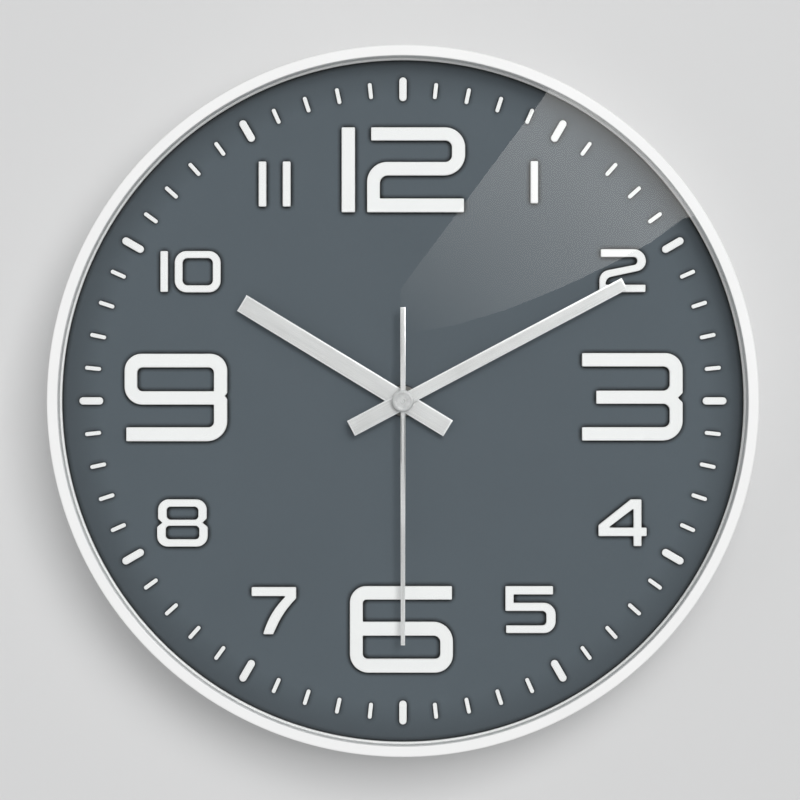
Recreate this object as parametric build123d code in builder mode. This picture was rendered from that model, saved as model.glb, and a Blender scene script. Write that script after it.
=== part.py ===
from build123d import *
import os
from math import cos, pi, radians, sin

# Wall clock, 300 mm across, with a quartz movement. Millimetres.
# +X is to the right, +Z is up, and the dial faces -Y. The origin is on the hand axis, in the
# plane of the wall. A "height" is a distance out from the wall, so it is -Y.
# Angles are counterclockwise from +X as seen from the front, except those of the hands,
# which are clockwise from 12, as on a dial.

# Case
case_radius = 150.0
case_depth = 43.0
lip_radius = 145.5  # inner edge of the front face, and of the spacer ring behind the glass
lip_thickness = 1.5
skirt_inner = 147.8  # bore of the front ring behind its lip
parting_height = 24.0  # top of the case body's side; the front ring starts just above it
parting_gap = 0.2
bead_depth = 0.5  # the snap bead inside the front ring, and the groove it sits in
bead_low = 25.6
bead_high = 26.0
groove_low = 25.4
groove_high = 26.2
edge_round = 0.5
overlap = 0.04  # how far a rib runs into the wall that it joins
glass_radius = 147.3
glass_thickness = 2.0
spacer_radius = 147.5
spacer_foot_radius = 144.7
spacer_foot = 1.5
dial_thickness = 1.5
dial_front = 29.5
dial_back = dial_front - dial_thickness
glass_front = case_depth - lip_thickness
glass_back = glass_front - glass_thickness
spigot_radius = 147.6
web_thickness = 2.0
web_inner = 126.0
web_back = dial_back - web_thickness
web_root = 145.4  # where the web's back meets the thick part of the side wall
shoulder_high = 22.0
shoulder_low = 20.0
wall_inner = 147.0
draft = 1.4  # how much narrower the side is at the wall than at the front ring
rear_edge = 0.6
recess_radius = 146.8
recess_edge = 0.4
ledge_inner = 143.6
ledge_thickness = 1.6
gusset_back = 12.0

# Rear cover
cover_back = 4.0
cover_front = 6.0
cover_radius = 146.4
window_size = 62.0
collar_wall = 1.6
collar_front = 22.0
screw_circle = 138.0
screw_count = 6
screw_radius = 1.3
screw_length = 12.0
screw_hole = 1.7
screw_head = 2.9
screw_head_height = 1.8
screw_head_round = 0.6
screw_recess_span = 3.2
screw_recess_width = 0.7
screw_recess_depth = 1.0
boss_radius = 3.75
keyhole_height = 100.0  # centre of the round entry, above the hand axis
keyhole_radius = 4.5
keyhole_slot = 2.4  # half the slot's width
keyhole_travel = 10.0
keyhole_pad = 9.0
keyhole_pad_front = 8.0
rib_count = 12
rib_depth = 1.4
rib_width = 1.6
inner_rib = 66.0
outer_rib = 118.0
bumper_circle = 128.0
bumper_radius = 4.5
bumper_stem = 1.95
bumper_hole = 2.0
bumper_stem_length = 2.5
bumper_angles = (235, 305)

# Dial furniture
marker_circle = 132.3
hour_marker_length = 10.15
hour_marker_width = 3.2
hour_marker_thickness = 1.4
minute_marker_length = 6.85
minute_marker_width = 1.7
minute_marker_thickness = 1.0
minute_marker_round = 0.5
minute_marker_edge = 0.2
numeral_thickness = 2.1
numeral_edge = 0.25

# Hands, with the time that they show
hour_angle = 301.3
minute_angle = 62.1
second_angle = 180.0
hand_thickness = 0.8
hand_edge = 0.2
hour_hand_height = 33.0
hour_hand_width = 7.9
hour_hand_tip = 79.9
hour_hand_tail = 22.4
minute_hand_height = 34.8
minute_hand_width = 5.4
minute_hand_tail_width = 7.2
minute_hand_tip = 106.1
minute_hand_tail = 24.9
second_hand_height = 36.5
second_hand_thickness = 0.6
second_hand_tip = 103.3
second_hand_tail = 39.6
second_tip_width = 1.8
second_tail_width = 2.2
cap_radius = 4.6
cap_thickness = 1.4
cap_round = 0.5
cap_dimple = 0.9
cap_dimple_depth = 0.4
hour_collet = 4.0
minute_collet = 3.2
second_collet = 1.5
collet_gap = 0.2  # between the end of one tube and the collet in front of it

# Tubes and shaft that carry the hands, one inside the other
bushing_radius = 4.0
bushing_bore = 2.6
bushing_front = 32.2
bushing_edge = 0.3
flange_radius = 6.0
flange_thickness = 0.6
rubber_washer = 11.0
brass_washer = 6.5
washer_thickness = 0.5
washer_play = 0.1
nut_flats = 10.0
nut_thickness = 1.9
hour_tube = 2.55
hour_tube_bore = 1.75
hour_tube_front = 34.0
minute_tube_radius = 1.65
minute_tube_bore = 0.65
minute_tube_front = 35.75
minute_tube_back = 20.3
second_shaft_radius = 0.55

# Movement housing
movement_size = 56.0
movement_wall = 1.5
movement_front = 27.0
movement_inside_front = 26.0
movement_parting = 14.0
movement_inside_back = 12.5
movement_back = 11.0
bay_top = -10.4
bay_wall = 1.0
corner_round = 2.0
knob_hole_play = 0.3
middle_plate_back = 19.4
middle_plate_front = 20.2
middle_plate_size = (40.0, 28.4)
middle_plate_centre = (0.5, 4.8)
third_pinion_hole = 2.0
plate_post = 1.5
board_post = 1.2
plate_posts = [(-18.0, 13.0), (18.0, -7.0), (12.0, 15.0)]
board_posts = [(-20.0, 21.5), (10.0, 21.5)]
pivot_back = 12.0
pivot_floor = 11.8
pivot_radius = 0.5
pivot_play = 0.05
pivot_boss = 1.4
pivot_boss_back = 24.2
motion_stud = 0.6
motion_stud_back = 22.15
notch_back = 20.0  # the contact strips pass the bay wall through two notches
notch_front = 23.5
notch_width = 0.9

# Gears: straight-flanked teeth, in modules
addendum = 0.9
dedendum = 1.25
tip_share = 0.5  # tooth width at the tip, as a share of that at the pitch circle
wheel_foot = 1.4  # the same at the root of a wheel
pinion_foot = 0.85  # and of a pinion
tooth_relief = 0.04  # taken off each flank, so that meshing teeth never touch
seconds_module = 0.30
minutes_module = 17 / 60
motor_module = 0.28
motion_module = 0.35
hour_module = 0.336
rotor_teeth = 8
fifth_teeth = 48
fifth_pinion_teeth = 12
second_teeth = 60
second_pinion_teeth = 8
third_teeth = 60
third_pinion_teeth = 8
centre_teeth = 64
cannon_teeth = 12
minute_teeth = 36
motion_pinion_teeth = 10
hour_teeth = 40
knob_teeth = 12

# Directions from one arbor to the next
third_direction = 135
fifth_direction = 45
rotor_direction = 20
motion_direction = 190
knob_direction = 200

# Heights of each wheel and pinion, low and high
magnet_span = (14.0, 17.0)
rotor_pinion_span = (17.9, 19.2)
fifth_pinion_span = (14.2, 18.2)
fifth_wheel_span = (18.2, 19.0)
second_wheel_span = (14.6, 15.4)
second_pinion_span = (15.4, 17.9)
third_wheel_span = (16.6, 17.4)
third_pinion_span = (17.4, 21.8)
centre_wheel_span = (20.6, 21.6)
cannon_span = (22.2, 23.6)
minute_wheel_span = (22.3, 23.5)
motion_pinion_span = (23.5, 25.3)
hour_wheel_span = (24.0, 25.2)
knob_pinion_span = (21.8, 23.8)
front_pivot = 25.6  # where the pivots in the front case end
plate_pivot = 20.0  # and those in the middle plate

# Lightening holes of each wheel: the circle they are on, and their radius
window_count = 4
fifth_windows = (4.4, 1.3)
second_windows = (5.2, 1.7)
third_windows = (5.4, 1.9)
centre_windows = (5.4, 1.9)
minute_windows = (4.1, 1.1)
hour_windows = (4.6, 1.1)

# Setting knob
knob_back = 8.4
knob_front = 10.6
knob_radius = 5.5
knob_shaft = 1.2
scallop_count = 20
scallop_radius = 0.7
coin_slot = (6.0, 1.0)
coin_slot_depth = 0.8

# Motor and electronics
sheet = 0.8  # thickness of the iron, the bobbin's walls and the board
rotor_arbor = 0.4
rotor_magnet = 2.5
core_back = 14.8
core_width = 3.0
lug_width = 4.0
stator_bore = 3.0
stator_slot = 0.4
stator_round = 1.0
flange_size = (7.0, 4.8)
bobbin_tube = (4.0, 1.8)
winding_size = (6.4, 4.2)
winding_round = 1.2
stator_left = 11.0
stator_right = 18.0
stator_low = -4.5
stator_high = 24.5
coil_x = 21.9
coil_low = 2.0
coil_high = 18.0
board_back = 21.6
board_low = 17.2
board_high = 25.8
board_half = 25.5
board_round = 0.5
chip_place = (2.0, 21.5)
chip_radius = 2.5
chip_height = 0.9
crystal_start = -14.0
crystal_length = 6.0
crystal_radius = 1.0
crystal_z = 22.0
contact_pad = (8.0, 8.5)
contact_dimple = 2.0
strip_height = 22.0
strip_width = 3.0
contact_back = 25.95
contact_sheet = 0.35
contact_top = 22.0

# Battery, size AA
battery_radius = 7.2
battery_end = 25.25
battery_can_end = 24.2
battery_cap_radius = 2.75
battery_height = 18.6
battery_z = -19.0
battery_round = 0.5

section = Plane(origin=(0, 0, 0), x_dir=(1, 0, 0), z_dir=(0, 0, -1))  # radius across, height up


def at(height):
    """The plane at a height above the wall, with X across and Z up."""
    return Plane.XZ.offset(height)


def hand_plane(height, angle):
    """The plane at a height, turned so that its y axis points clockwise from 12 by an angle."""
    across = (cos(radians(angle)), 0, -sin(radians(angle)))
    return Plane(origin=(0, -height, 0), x_dir=across, z_dir=(0, -1, 0))


def polar(centre, distance, angle):
    """The point at a distance and an angle from a centre."""
    return (
        centre[0] + distance * cos(radians(angle)),
        centre[1] + distance * sin(radians(angle)),
    )


def save(piece, name):
    """Name a finished piece and write it."""
    piece.part.label = name
    export_step(piece.part, f"parts/{name}.step")


def turned(name, corners):
    """A ring or disc turned about the hand axis, from (radius, height, corner radius)."""
    with BuildPart() as piece:
        with BuildSketch(section):
            with BuildLine():
                FilletPolyline(
                    *[corner[:2] for corner in corners],
                    radius=[corner[2] for corner in corners],
                    close=True,
                )
            make_face()
        revolve(axis=Axis.Y)
    save(piece, name)


def disc(name, outer, inner, low, high):
    """A flat round disc with a round hole, on the hand axis."""
    with BuildPart() as piece:
        with BuildSketch(at(low)):
            Circle(outer)
            Circle(inner, mode=Mode.SUBTRACT)
        extrude(amount=high - low)
    save(piece, name)


os.makedirs("parts", exist_ok=True)
hand_axis = (0, 0)

# ---------------------------------------------------------------- case

# Front ring: flat face, square inner lip, and a skirt with a snap bead inside its rear edge.
turned(
    "front_ring",
    [
        (case_radius, parting_height + parting_gap, parting_gap),
        (case_radius, case_depth, edge_round),
        (lip_radius, case_depth, edge_round),
        (lip_radius, glass_front, 0),
        (skirt_inner, glass_front, 0),
        (skirt_inner, bead_high + bead_depth, 0),
        (skirt_inner - bead_depth, bead_high, 0),
        (skirt_inner - bead_depth, bead_low, 0),
        (skirt_inner, bead_low - bead_depth, 0),
        (skirt_inner, parting_height + parting_gap, 0),
    ],
)

with BuildPart() as front_glass:
    with BuildSketch(at(glass_back)):
        Circle(glass_radius)
    extrude(amount=glass_thickness)
save(front_glass, "front_glass")

# Spacer ring: keeps the glass off the dial; its foot shows as a thin line round the dial.
turned(
    "spacer_ring",
    [
        (lip_radius, glass_back, 0),
        (spacer_radius, glass_back, 0),
        (spacer_radius, dial_front, 0),
        (spacer_foot_radius, dial_front, 0),
        (spacer_foot_radius, dial_front + spacer_foot, parting_gap),
        (lip_radius, dial_front + spacer_foot, 0),
    ],
)

# Case body: side wall with a spigot for the front ring, a web that carries the dial,
# a ledge for the rear cover, six screw bosses and a stiffening gusset between each two.
with BuildPart() as case_body:
    with BuildSketch(section):
        with BuildLine():
            Polyline(
                (web_inner, dial_back),
                (web_inner, web_back),
                (web_root, web_back),
                (web_root, shoulder_high),
                (wall_inner, shoulder_low),
                (wall_inner, cover_front + ledge_thickness),
                (ledge_inner, cover_front + ledge_thickness),
                (ledge_inner, cover_front),
                (recess_radius, cover_front),
                (recess_radius, recess_edge),
                (recess_radius + recess_edge, 0),
                (case_radius - draft - rear_edge, 0),
                (case_radius - draft, rear_edge),
                (case_radius, parting_height),
                (spigot_radius, parting_height),
                (spigot_radius, groove_low - bead_depth),
                (spigot_radius - bead_depth, groove_low),
                (spigot_radius - bead_depth, groove_high),
                (spigot_radius, groove_high + bead_depth),
                (spigot_radius, dial_back),
                close=True,
            )
        make_face()
    revolve(axis=Axis.Y)
    with BuildSketch(at(cover_front)):
        with PolarLocations(screw_circle, screw_count):
            Circle(boss_radius)
    extrude(amount=web_back + overlap - cover_front)
    with BuildSketch(at(gusset_back)):
        with PolarLocations(screw_circle, screw_count, start_angle=180 / screw_count):
            Rectangle(2 * (wall_inner - screw_circle + overlap), rib_width)
    extrude(amount=web_back + overlap - gusset_back)
    with BuildSketch(at(cover_front)):
        with PolarLocations(screw_circle, screw_count):
            Circle(screw_radius + pivot_play)
    extrude(amount=screw_length, mode=Mode.SUBTRACT)
save(case_body, "case_body")

# Rear cover: panel with a collar round the movement window, a keyhole, and ribs on its back.
with BuildPart() as rear_cover:
    with BuildSketch(at(cover_back)):
        Circle(cover_radius)
    extrude(amount=cover_front - cover_back)
    with BuildSketch(at(cover_front)):
        RectangleRounded(
            window_size + 2 * collar_wall,
            window_size + 2 * collar_wall,
            corner_round + collar_wall,
        )
    extrude(amount=collar_front - cover_front)
    with BuildSketch(at(cover_front)):
        with Locations((0, keyhole_height + keyhole_travel / 2)):
            SlotCenterToCenter(keyhole_travel, 2 * keyhole_pad, rotation=90)
    extrude(amount=keyhole_pad_front - cover_front)
    with BuildSketch(at(cover_back - rib_depth)):
        for rib in (inner_rib, outer_rib):
            Circle(rib + rib_width)
            Circle(rib, mode=Mode.SUBTRACT)
        with PolarLocations(
            (inner_rib + outer_rib + rib_width) / 2, rib_count, start_angle=180 / rib_count
        ):
            Rectangle(outer_rib - inner_rib, rib_width)
    extrude(amount=rib_depth)
    with BuildSketch(at(cover_back - rib_depth)):
        RectangleRounded(window_size, window_size, corner_round)
    extrude(amount=collar_front, mode=Mode.SUBTRACT)
    with BuildSketch(at(cover_back)):
        with Locations((0, keyhole_height)):
            Circle(keyhole_radius)
        with Locations((0, keyhole_height + keyhole_travel / 2)):
            SlotCenterToCenter(keyhole_travel, 2 * keyhole_slot, rotation=90)
        with PolarLocations(screw_circle, screw_count):
            Circle(screw_hole)
        for angle in bumper_angles:
            with Locations(polar(hand_axis, bumper_circle, angle)):
                Circle(bumper_hole)
    extrude(amount=keyhole_pad_front - cover_back, mode=Mode.SUBTRACT)
save(rear_cover, "rear_cover")

# Six pan-head screws with a cross recess.
with BuildPart() as rear_cover_screws:
    with BuildSketch(at(cover_back - screw_head_height)):
        with PolarLocations(screw_circle, screw_count):
            Circle(screw_head)
    extrude(amount=screw_head_height)
    fillet(rear_cover_screws.edges().group_by(Axis.Y)[-1], screw_head_round)
    with BuildSketch(at(cover_back)):
        with PolarLocations(screw_circle, screw_count):
            Circle(screw_radius)
    extrude(amount=screw_length)
    with BuildSketch(at(cover_back - screw_head_height)):
        with PolarLocations(screw_circle, screw_count):
            Rectangle(screw_recess_span, screw_recess_width)
            Rectangle(screw_recess_width, screw_recess_span)
    extrude(amount=screw_recess_depth, mode=Mode.SUBTRACT)
save(rear_cover_screws, "rear_cover_screws")

# Two soft bumpers that stand the lower edge off the wall, each plugged into the cover.
with BuildPart() as wall_bumpers:
    with BuildSketch(at(0)):
        for angle in bumper_angles:
            with Locations(polar(hand_axis, bumper_circle, angle)):
                Circle(bumper_radius)
    extrude(amount=cover_back)
    fillet(wall_bumpers.edges().group_by(Axis.Y)[-1], rear_edge)
    with BuildSketch(at(cover_back)):
        for angle in bumper_angles:
            with Locations(polar(hand_axis, bumper_circle, angle)):
                Circle(bumper_stem)
    extrude(amount=bumper_stem_length)
save(wall_bumpers, "wall_bumpers")

# ---------------------------------------------------------------- dial

disc("dial_plate", glass_radius, bushing_radius + washer_play, dial_back, dial_front)

with BuildPart() as hour_markers:
    with BuildSketch(at(dial_front)):
        with PolarLocations(marker_circle, 12):
            SlotOverall(hour_marker_length, hour_marker_width)
    extrude(amount=hour_marker_thickness)
    chamfer(hour_markers.faces().group_by(Axis.Y)[0].edges(), numeral_edge)
save(hour_markers, "hour_markers")

with BuildPart() as minute_markers:
    with BuildSketch(at(dial_front)):
        for hour in range(12):
            with PolarLocations(marker_circle, 4, start_angle=30 * hour + 6, angular_range=24):
                RectangleRounded(minute_marker_length, minute_marker_width, minute_marker_round)
    extrude(amount=minute_marker_thickness)
    chamfer(minute_markers.faces().group_by(Axis.Y)[0].edges(), minute_marker_edge)
save(minute_markers, "minute_markers")


def numeral(hour, outlines, holes=()):
    """A raised numeral: closed outlines and holes, each a list of (x, z, corner radius)."""
    with BuildPart() as piece:
        with BuildSketch(at(dial_front)):
            for corners in outlines:
                with BuildLine():
                    FilletPolyline(
                        *[corner[:2] for corner in corners],
                        radius=[corner[2] for corner in corners],
                        close=True,
                    )
                make_face()
            for corners in holes:
                with BuildLine():
                    FilletPolyline(
                        *[corner[:2] for corner in corners],
                        radius=[corner[2] for corner in corners],
                        close=True,
                    )
                make_face(mode=Mode.SUBTRACT)
        extrude(amount=numeral_thickness)
        chamfer(piece.faces().group_by(Axis.Y)[0].edges(), numeral_edge)
    save(piece, f"numeral_{hour}")


def bar(left, right, bottom, top, corner=0.45):
    """The outline of a plain upright bar, the digit 1."""
    return [
        (left, top, corner),
        (right, top, corner),
        (right, bottom, corner),
        (left, bottom, corner),
    ]


end = 0.45  # corner radius at the end of a stroke
nick = 0.3  # corner radius where a corner looks sharp

numeral(1, [bar(54.2, 57.35, 83.9, 101.8)])
numeral(
    2,
    [
        [
            (84.0, 64.4, end),
            (103.1, 64.4, 5.2),
            (103.1, 55.9, 4.4),
            (86.0, 52.2, 3.0),
            (86.0, 49.3, nick),
            (102.9, 49.3, end),
            (102.9, 46.2, end),
            (83.4, 46.2, end),
            (83.4, 54.8, 4.5),
            (99.5, 57.95, 1.7),
            (99.5, 61.1, 1.6),
            (84.0, 61.1, end),
        ]
    ],
)
numeral(
    3,
    [
        [
            (76.0, 20.3, end),
            (118.7, 20.3, 7.4),
            (118.7, 3.4, 1.0),
            (116.7, 1.35, 0),
            (118.7, -0.7, 1.0),
            (118.7, -16.8, 8.5),
            (76.0, -16.8, end),
            (76.0, -11.15, end),
            (113.2, -11.15, 2.7),
            (113.2, -1.2, 2.7),
            (82.05, -1.2, end),
            (82.05, 4.35, end),
            (113.2, 4.35, 2.7),
            (113.2, 14.65, 2.7),
            (76.0, 14.65, end),
        ]
    ],
)
numeral(
    4,
    [
        [
            (96.7, -41.8, end),
            (101.2, -41.8, end),
            (101.2, -53.8, nick),
            (103.4, -53.8, end),
            (103.4, -57.35, end),
            (101.2, -57.35, nick),
            (101.2, -61.6, end),
            (97.9, -61.6, end),
            (97.9, -57.35, nick),
            (83.0, -57.35, end),
            (83.0, -52.7, end),
        ]
    ],
    holes=[[(97.9, -45.6, nick), (97.9, -53.8, nick), (87.1, -53.8, nick)]],
)
numeral(
    5,
    [
        [
            (43.5, -78.6, end),
            (63.7, -78.6, end),
            (63.7, -82.1, end),
            (46.95, -82.1, nick),
            (46.95, -85.7, nick),
            (64.8, -85.7, 5.1),
            (64.8, -98.5, 5.1),
            (43.8, -98.5, end),
            (43.8, -95.3, end),
            (60.9, -95.3, 1.8),
            (60.9, -89.1, 1.8),
            (43.5, -89.1, end),
        ]
    ],
)
numeral(
    6,
    [
        [
            (-22.5, -78.6, 7.0),
            (20.8, -78.6, end),
            (20.8, -84.3, end),
            (-17.05, -84.3, 1.6),
            (-17.05, -93.75, nick),
            (21.2, -93.75, 8.4),
            (21.2, -115.3, 7.7),
            (-22.5, -115.3, 8.0),
        ]
    ],
    holes=[
        [
            (-17.05, -99.6, nick),
            (15.85, -99.6, 2.8),
            (15.85, -109.45, 2.1),
            (-17.05, -109.45, 2.1),
        ]
    ],
)
numeral(
    7,
    [
        [
            (-64.2, -79.0, end),
            (-45.35, -79.0, end),
            (-45.35, -83.8, end),
            (-50.8, -89.7, 38.0),
            (-55.1, -99.0, end),
            (-59.35, -99.0, end),
            (-56.2, -89.6, 34.0),
            (-49.6, -82.8, nick),
            (-64.2, -82.8, end),
        ]
    ],
)
numeral(
    8,
    [
        [
            (-103.9, -41.8, 4.5),
            (-83.3, -41.8, 4.5),
            (-83.3, -49.9, 1.0),
            (-85.1, -51.7, 0),
            (-82.9, -53.5, 1.0),
            (-82.9, -61.8, 4.5),
            (-104.3, -61.8, 4.5),
            (-104.3, -53.5, 1.0),
            (-102.1, -51.7, 0),
            (-103.9, -49.9, 1.0),
        ]
    ],
    holes=[
        [
            (-100.3, -44.85, 1.7),
            (-86.8, -44.85, 1.7),
            (-86.8, -50.45, 1.7),
            (-100.3, -50.45, 1.7),
        ],
        [
            (-100.7, -52.95, 1.7),
            (-86.4, -52.95, 1.7),
            (-86.4, -58.75, 1.7),
            (-100.7, -58.75, 1.7),
        ],
    ],
)
numeral(
    9,
    [
        [
            (-118.1, 20.0, 7.2),
            (-74.6, 20.0, 7.2),
            (-74.6, 3.4, 1.0),
            (-75.6, 2.1, 0),
            (-74.6, 0.8, 1.0),
            (-74.6, -17.1, 8.6),
            (-117.4, -17.1, end),
            (-117.4, -11.2, end),
            (-80.2, -11.2, 2.4),
            (-80.2, -1.55, nick),
            (-118.1, -1.55, 7.6),
        ]
    ],
    holes=[
        [
            (-112.8, 14.25, 2.3),
            (-80.2, 14.25, 2.3),
            (-80.2, 4.1, nick),
            (-112.8, 4.1, 2.3),
        ]
    ],
)
numeral(
    10,
    [
        bar(-102.9, -99.75, 46.3, 63.6),
        [
            (-96.8, 63.6, 5.0),
            (-77.4, 63.6, 5.0),
            (-77.4, 46.1, 5.0),
            (-96.8, 46.1, 5.0),
        ],
    ],
    holes=[
        [
            (-93.55, 60.65, 2.2),
            (-80.65, 60.65, 2.2),
            (-80.65, 49.05, 2.2),
            (-93.55, 49.05, 2.2),
        ]
    ],
)
numeral(11, [bar(-61.2, -58.0, 82.5, 101.6), bar(-51.0, -47.7, 82.5, 101.6)])
numeral(
    12,
    [
        bar(-26.0, -20.35, 80.1, 116.1),
        [
            (-13.5, 116.1, end),
            (26.4, 116.1, 8.6),
            (26.4, 95.7, 9.0),
            (-9.8, 95.7, 3.4),
            (-9.8, 85.9, nick),
            (25.9, 85.9, end),
            (25.9, 80.1, end),
            (-15.2, 80.1, end),
            (-15.2, 101.4, 8.5),
            (20.8, 101.4, 2.8),
            (20.8, 110.55, 2.8),
            (-13.5, 110.55, end),
        ],
    ],
)

# ---------------------------------------------------------------- hands


def hand(name, height, thickness, angle, bore, outline):
    """A flat hand: an outline of (across, along) points, with a hole for its tube."""
    with BuildPart() as piece:
        with BuildSketch(hand_plane(height, angle)):
            with BuildLine():
                Polyline(*outline, close=True)
            make_face()
        extrude(amount=thickness)
        chamfer(piece.faces().group_by(Axis.Y)[0].edges(), hand_edge)
        with BuildSketch(at(height)):
            Circle(bore)
        extrude(amount=thickness, mode=Mode.SUBTRACT)
    save(piece, name)


hand(
    "hour_hand",
    hour_hand_height,
    hand_thickness,
    hour_angle,
    hour_tube,
    [
        (-hour_hand_width / 2, -hour_hand_tail),
        (hour_hand_width / 2, -hour_hand_tail),
        (hour_hand_width / 2, hour_hand_tip),
        (-hour_hand_width / 2, hour_hand_tip),
    ],
)
hand(
    "minute_hand",
    minute_hand_height,
    hand_thickness,
    minute_angle,
    minute_tube_radius,
    [
        (-minute_hand_tail_width / 2, -minute_hand_tail),
        (minute_hand_tail_width / 2, -minute_hand_tail),
        (minute_hand_tail_width / 2, 0),
        (minute_hand_width / 2, cap_radius),
        (minute_hand_width / 2, minute_hand_tip),
        (-minute_hand_width / 2, minute_hand_tip),
        (-minute_hand_width / 2, cap_radius),
        (-minute_hand_tail_width / 2, 0),
    ],
)
hand(
    "second_hand",
    second_hand_height,
    second_hand_thickness,
    second_angle,
    second_shaft_radius,
    [
        (-second_tail_width / 2, -second_hand_tail),
        (second_tail_width / 2, -second_hand_tail),
        (second_tip_width / 2, second_hand_tip),
        (-second_tip_width / 2, second_hand_tip),
    ],
)
disc("hour_hand_collet", hour_collet, hour_tube, bushing_front + collet_gap, hour_hand_height)
disc(
    "minute_hand_collet",
    minute_collet,
    minute_tube_radius,
    hour_tube_front + collet_gap,
    minute_hand_height,
)
disc(
    "second_hand_collet",
    second_collet,
    second_shaft_radius,
    minute_tube_front + collet_gap,
    second_hand_height,
)

# Centre cap: a low button with a round dimple.
cap_back = second_hand_height + second_hand_thickness
with BuildPart() as centre_cap:
    with BuildSketch(at(cap_back)):
        Circle(cap_radius)
    extrude(amount=cap_thickness)
    fillet(centre_cap.edges().group_by(Axis.Y)[0], cap_round)
    with BuildSketch(at(cap_back + cap_thickness - cap_dimple_depth)):
        Circle(cap_dimple)
    extrude(amount=cap_dimple_depth, mode=Mode.SUBTRACT)
save(centre_cap, "centre_cap")

# ---------------------------------------------------------------- movement housing

third_axis = polar(
    hand_axis, (second_pinion_teeth + third_teeth) / 2 * seconds_module, third_direction
)
fifth_axis = polar(
    hand_axis, (fifth_pinion_teeth + second_teeth) / 2 * motor_module, fifth_direction
)
rotor_axis = polar(
    fifth_axis, (rotor_teeth + fifth_teeth) / 2 * motor_module, rotor_direction
)
motion_axis = polar(
    hand_axis, (cannon_teeth + minute_teeth) / 2 * motion_module, motion_direction
)
knob_axis = polar(
    motion_axis, (knob_teeth + minute_teeth) / 2 * motion_module, knob_direction
)
inside = movement_size / 2 - movement_wall
bay_middle = (bay_top - bay_wall - inside) / 2

# Front case: a square tray with the battery bay walled off, posts, studs and pivot holes.
with BuildPart() as movement_front_case:
    with BuildSketch(at(movement_parting)):
        RectangleRounded(movement_size, movement_size, corner_round)
    extrude(amount=movement_front - movement_parting)
    with BuildSketch(at(movement_parting)):
        Rectangle(2 * inside, 2 * inside)
    extrude(amount=movement_inside_front - movement_parting, mode=Mode.SUBTRACT)
    with BuildSketch(at(movement_inside_back)):
        with Locations((0, bay_top - bay_wall / 2)):
            Rectangle(2 * inside, bay_wall)
    extrude(amount=movement_inside_front - movement_inside_back)
    with BuildSketch(at(notch_back)):
        for side in (-1, 1):
            with Locations((side * (inside - notch_width / 2), bay_top - bay_wall / 2)):
                Rectangle(notch_width, 2 * bay_wall)
    extrude(amount=notch_front - notch_back, mode=Mode.SUBTRACT)
    with BuildSketch(at(middle_plate_front)):
        with Locations(*plate_posts):
            Circle(plate_post)
    extrude(amount=movement_inside_front - middle_plate_front)
    with BuildSketch(at(board_back + sheet)):
        with Locations(*board_posts):
            Circle(board_post)
    extrude(amount=movement_inside_front - board_back - sheet)
    with BuildSketch(at(motion_stud_back)):
        with Locations(motion_axis):
            Circle(motion_stud)
    extrude(amount=movement_inside_front - motion_stud_back)
    with BuildSketch(at(pivot_boss_back)):
        with Locations(third_axis, knob_axis):
            Circle(pivot_boss)
            Circle(pivot_radius + pivot_play, mode=Mode.SUBTRACT)
    extrude(amount=movement_inside_front - pivot_boss_back)
    with BuildSketch(at(movement_inside_front)):
        Circle(bushing_radius + pivot_play)
    extrude(amount=movement_front - movement_inside_front, mode=Mode.SUBTRACT)
save(movement_front_case, "movement_front_case")

# Rear case: a shallow lid with pivot holes, open over the battery.
with BuildPart() as movement_rear_case:
    with BuildSketch(at(movement_back)):
        RectangleRounded(movement_size, movement_size, corner_round)
    extrude(amount=movement_parting - movement_back)
    with BuildSketch(at(movement_inside_back)):
        Rectangle(2 * inside, 2 * inside)
    extrude(amount=movement_parting - movement_inside_back, mode=Mode.SUBTRACT)
    with BuildSketch(at(movement_back)):
        with Locations((0, bay_middle)):
            Rectangle(2 * inside, bay_top - bay_wall + inside)
        with Locations(knob_axis):
            Circle(knob_shaft + pivot_play)
    extrude(amount=movement_inside_back - movement_back, mode=Mode.SUBTRACT)
    with BuildSketch(at(pivot_floor)):
        with Locations(hand_axis, third_axis, fifth_axis, rotor_axis):
            Circle(second_shaft_radius + pivot_play)
    extrude(amount=movement_inside_back - pivot_floor, mode=Mode.SUBTRACT)
save(movement_rear_case, "movement_rear_case")

# Middle plate: carries the front pivots of the fifth wheel and the rotor.
with BuildPart() as middle_plate:
    with BuildSketch(at(middle_plate_back)):
        with Locations(middle_plate_centre):
            RectangleRounded(*middle_plate_size, corner_round)
        Circle(second_shaft_radius + pivot_play, mode=Mode.SUBTRACT)
        with Locations(third_axis):
            Circle(third_pinion_hole, mode=Mode.SUBTRACT)
        with Locations(fifth_axis, rotor_axis):
            Circle(pivot_radius + pivot_play, mode=Mode.SUBTRACT)
        with Locations(knob_axis):
            Circle(knob_shaft + knob_hole_play, mode=Mode.SUBTRACT)
    extrude(amount=middle_plate_front - middle_plate_back)
save(middle_plate, "middle_plate")

turned(
    "threaded_bushing",
    [
        (bushing_bore, movement_inside_front - flange_thickness, 0),
        (flange_radius, movement_inside_front - flange_thickness, 0),
        (flange_radius, movement_inside_front, 0),
        (bushing_radius, movement_inside_front, 0),
        (bushing_radius, bushing_front - bushing_edge, 0),
        (bushing_radius - bushing_edge, bushing_front, 0),
        (bushing_bore, bushing_front, 0),
    ],
)
washer_bore = bushing_radius + washer_play
disc("rubber_washer", rubber_washer, washer_bore, movement_front, dial_back)
disc("brass_washer", brass_washer, washer_bore, dial_front, dial_front + washer_thickness)

with BuildPart() as hex_nut:
    with BuildSketch(at(dial_front + washer_thickness)):
        RegularPolygon(nut_flats / 2, 6, major_radius=False)
        Circle(bushing_radius, mode=Mode.SUBTRACT)
    extrude(amount=nut_thickness)
save(hex_nut, "hex_nut")

# ---------------------------------------------------------------- wheel train


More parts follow.
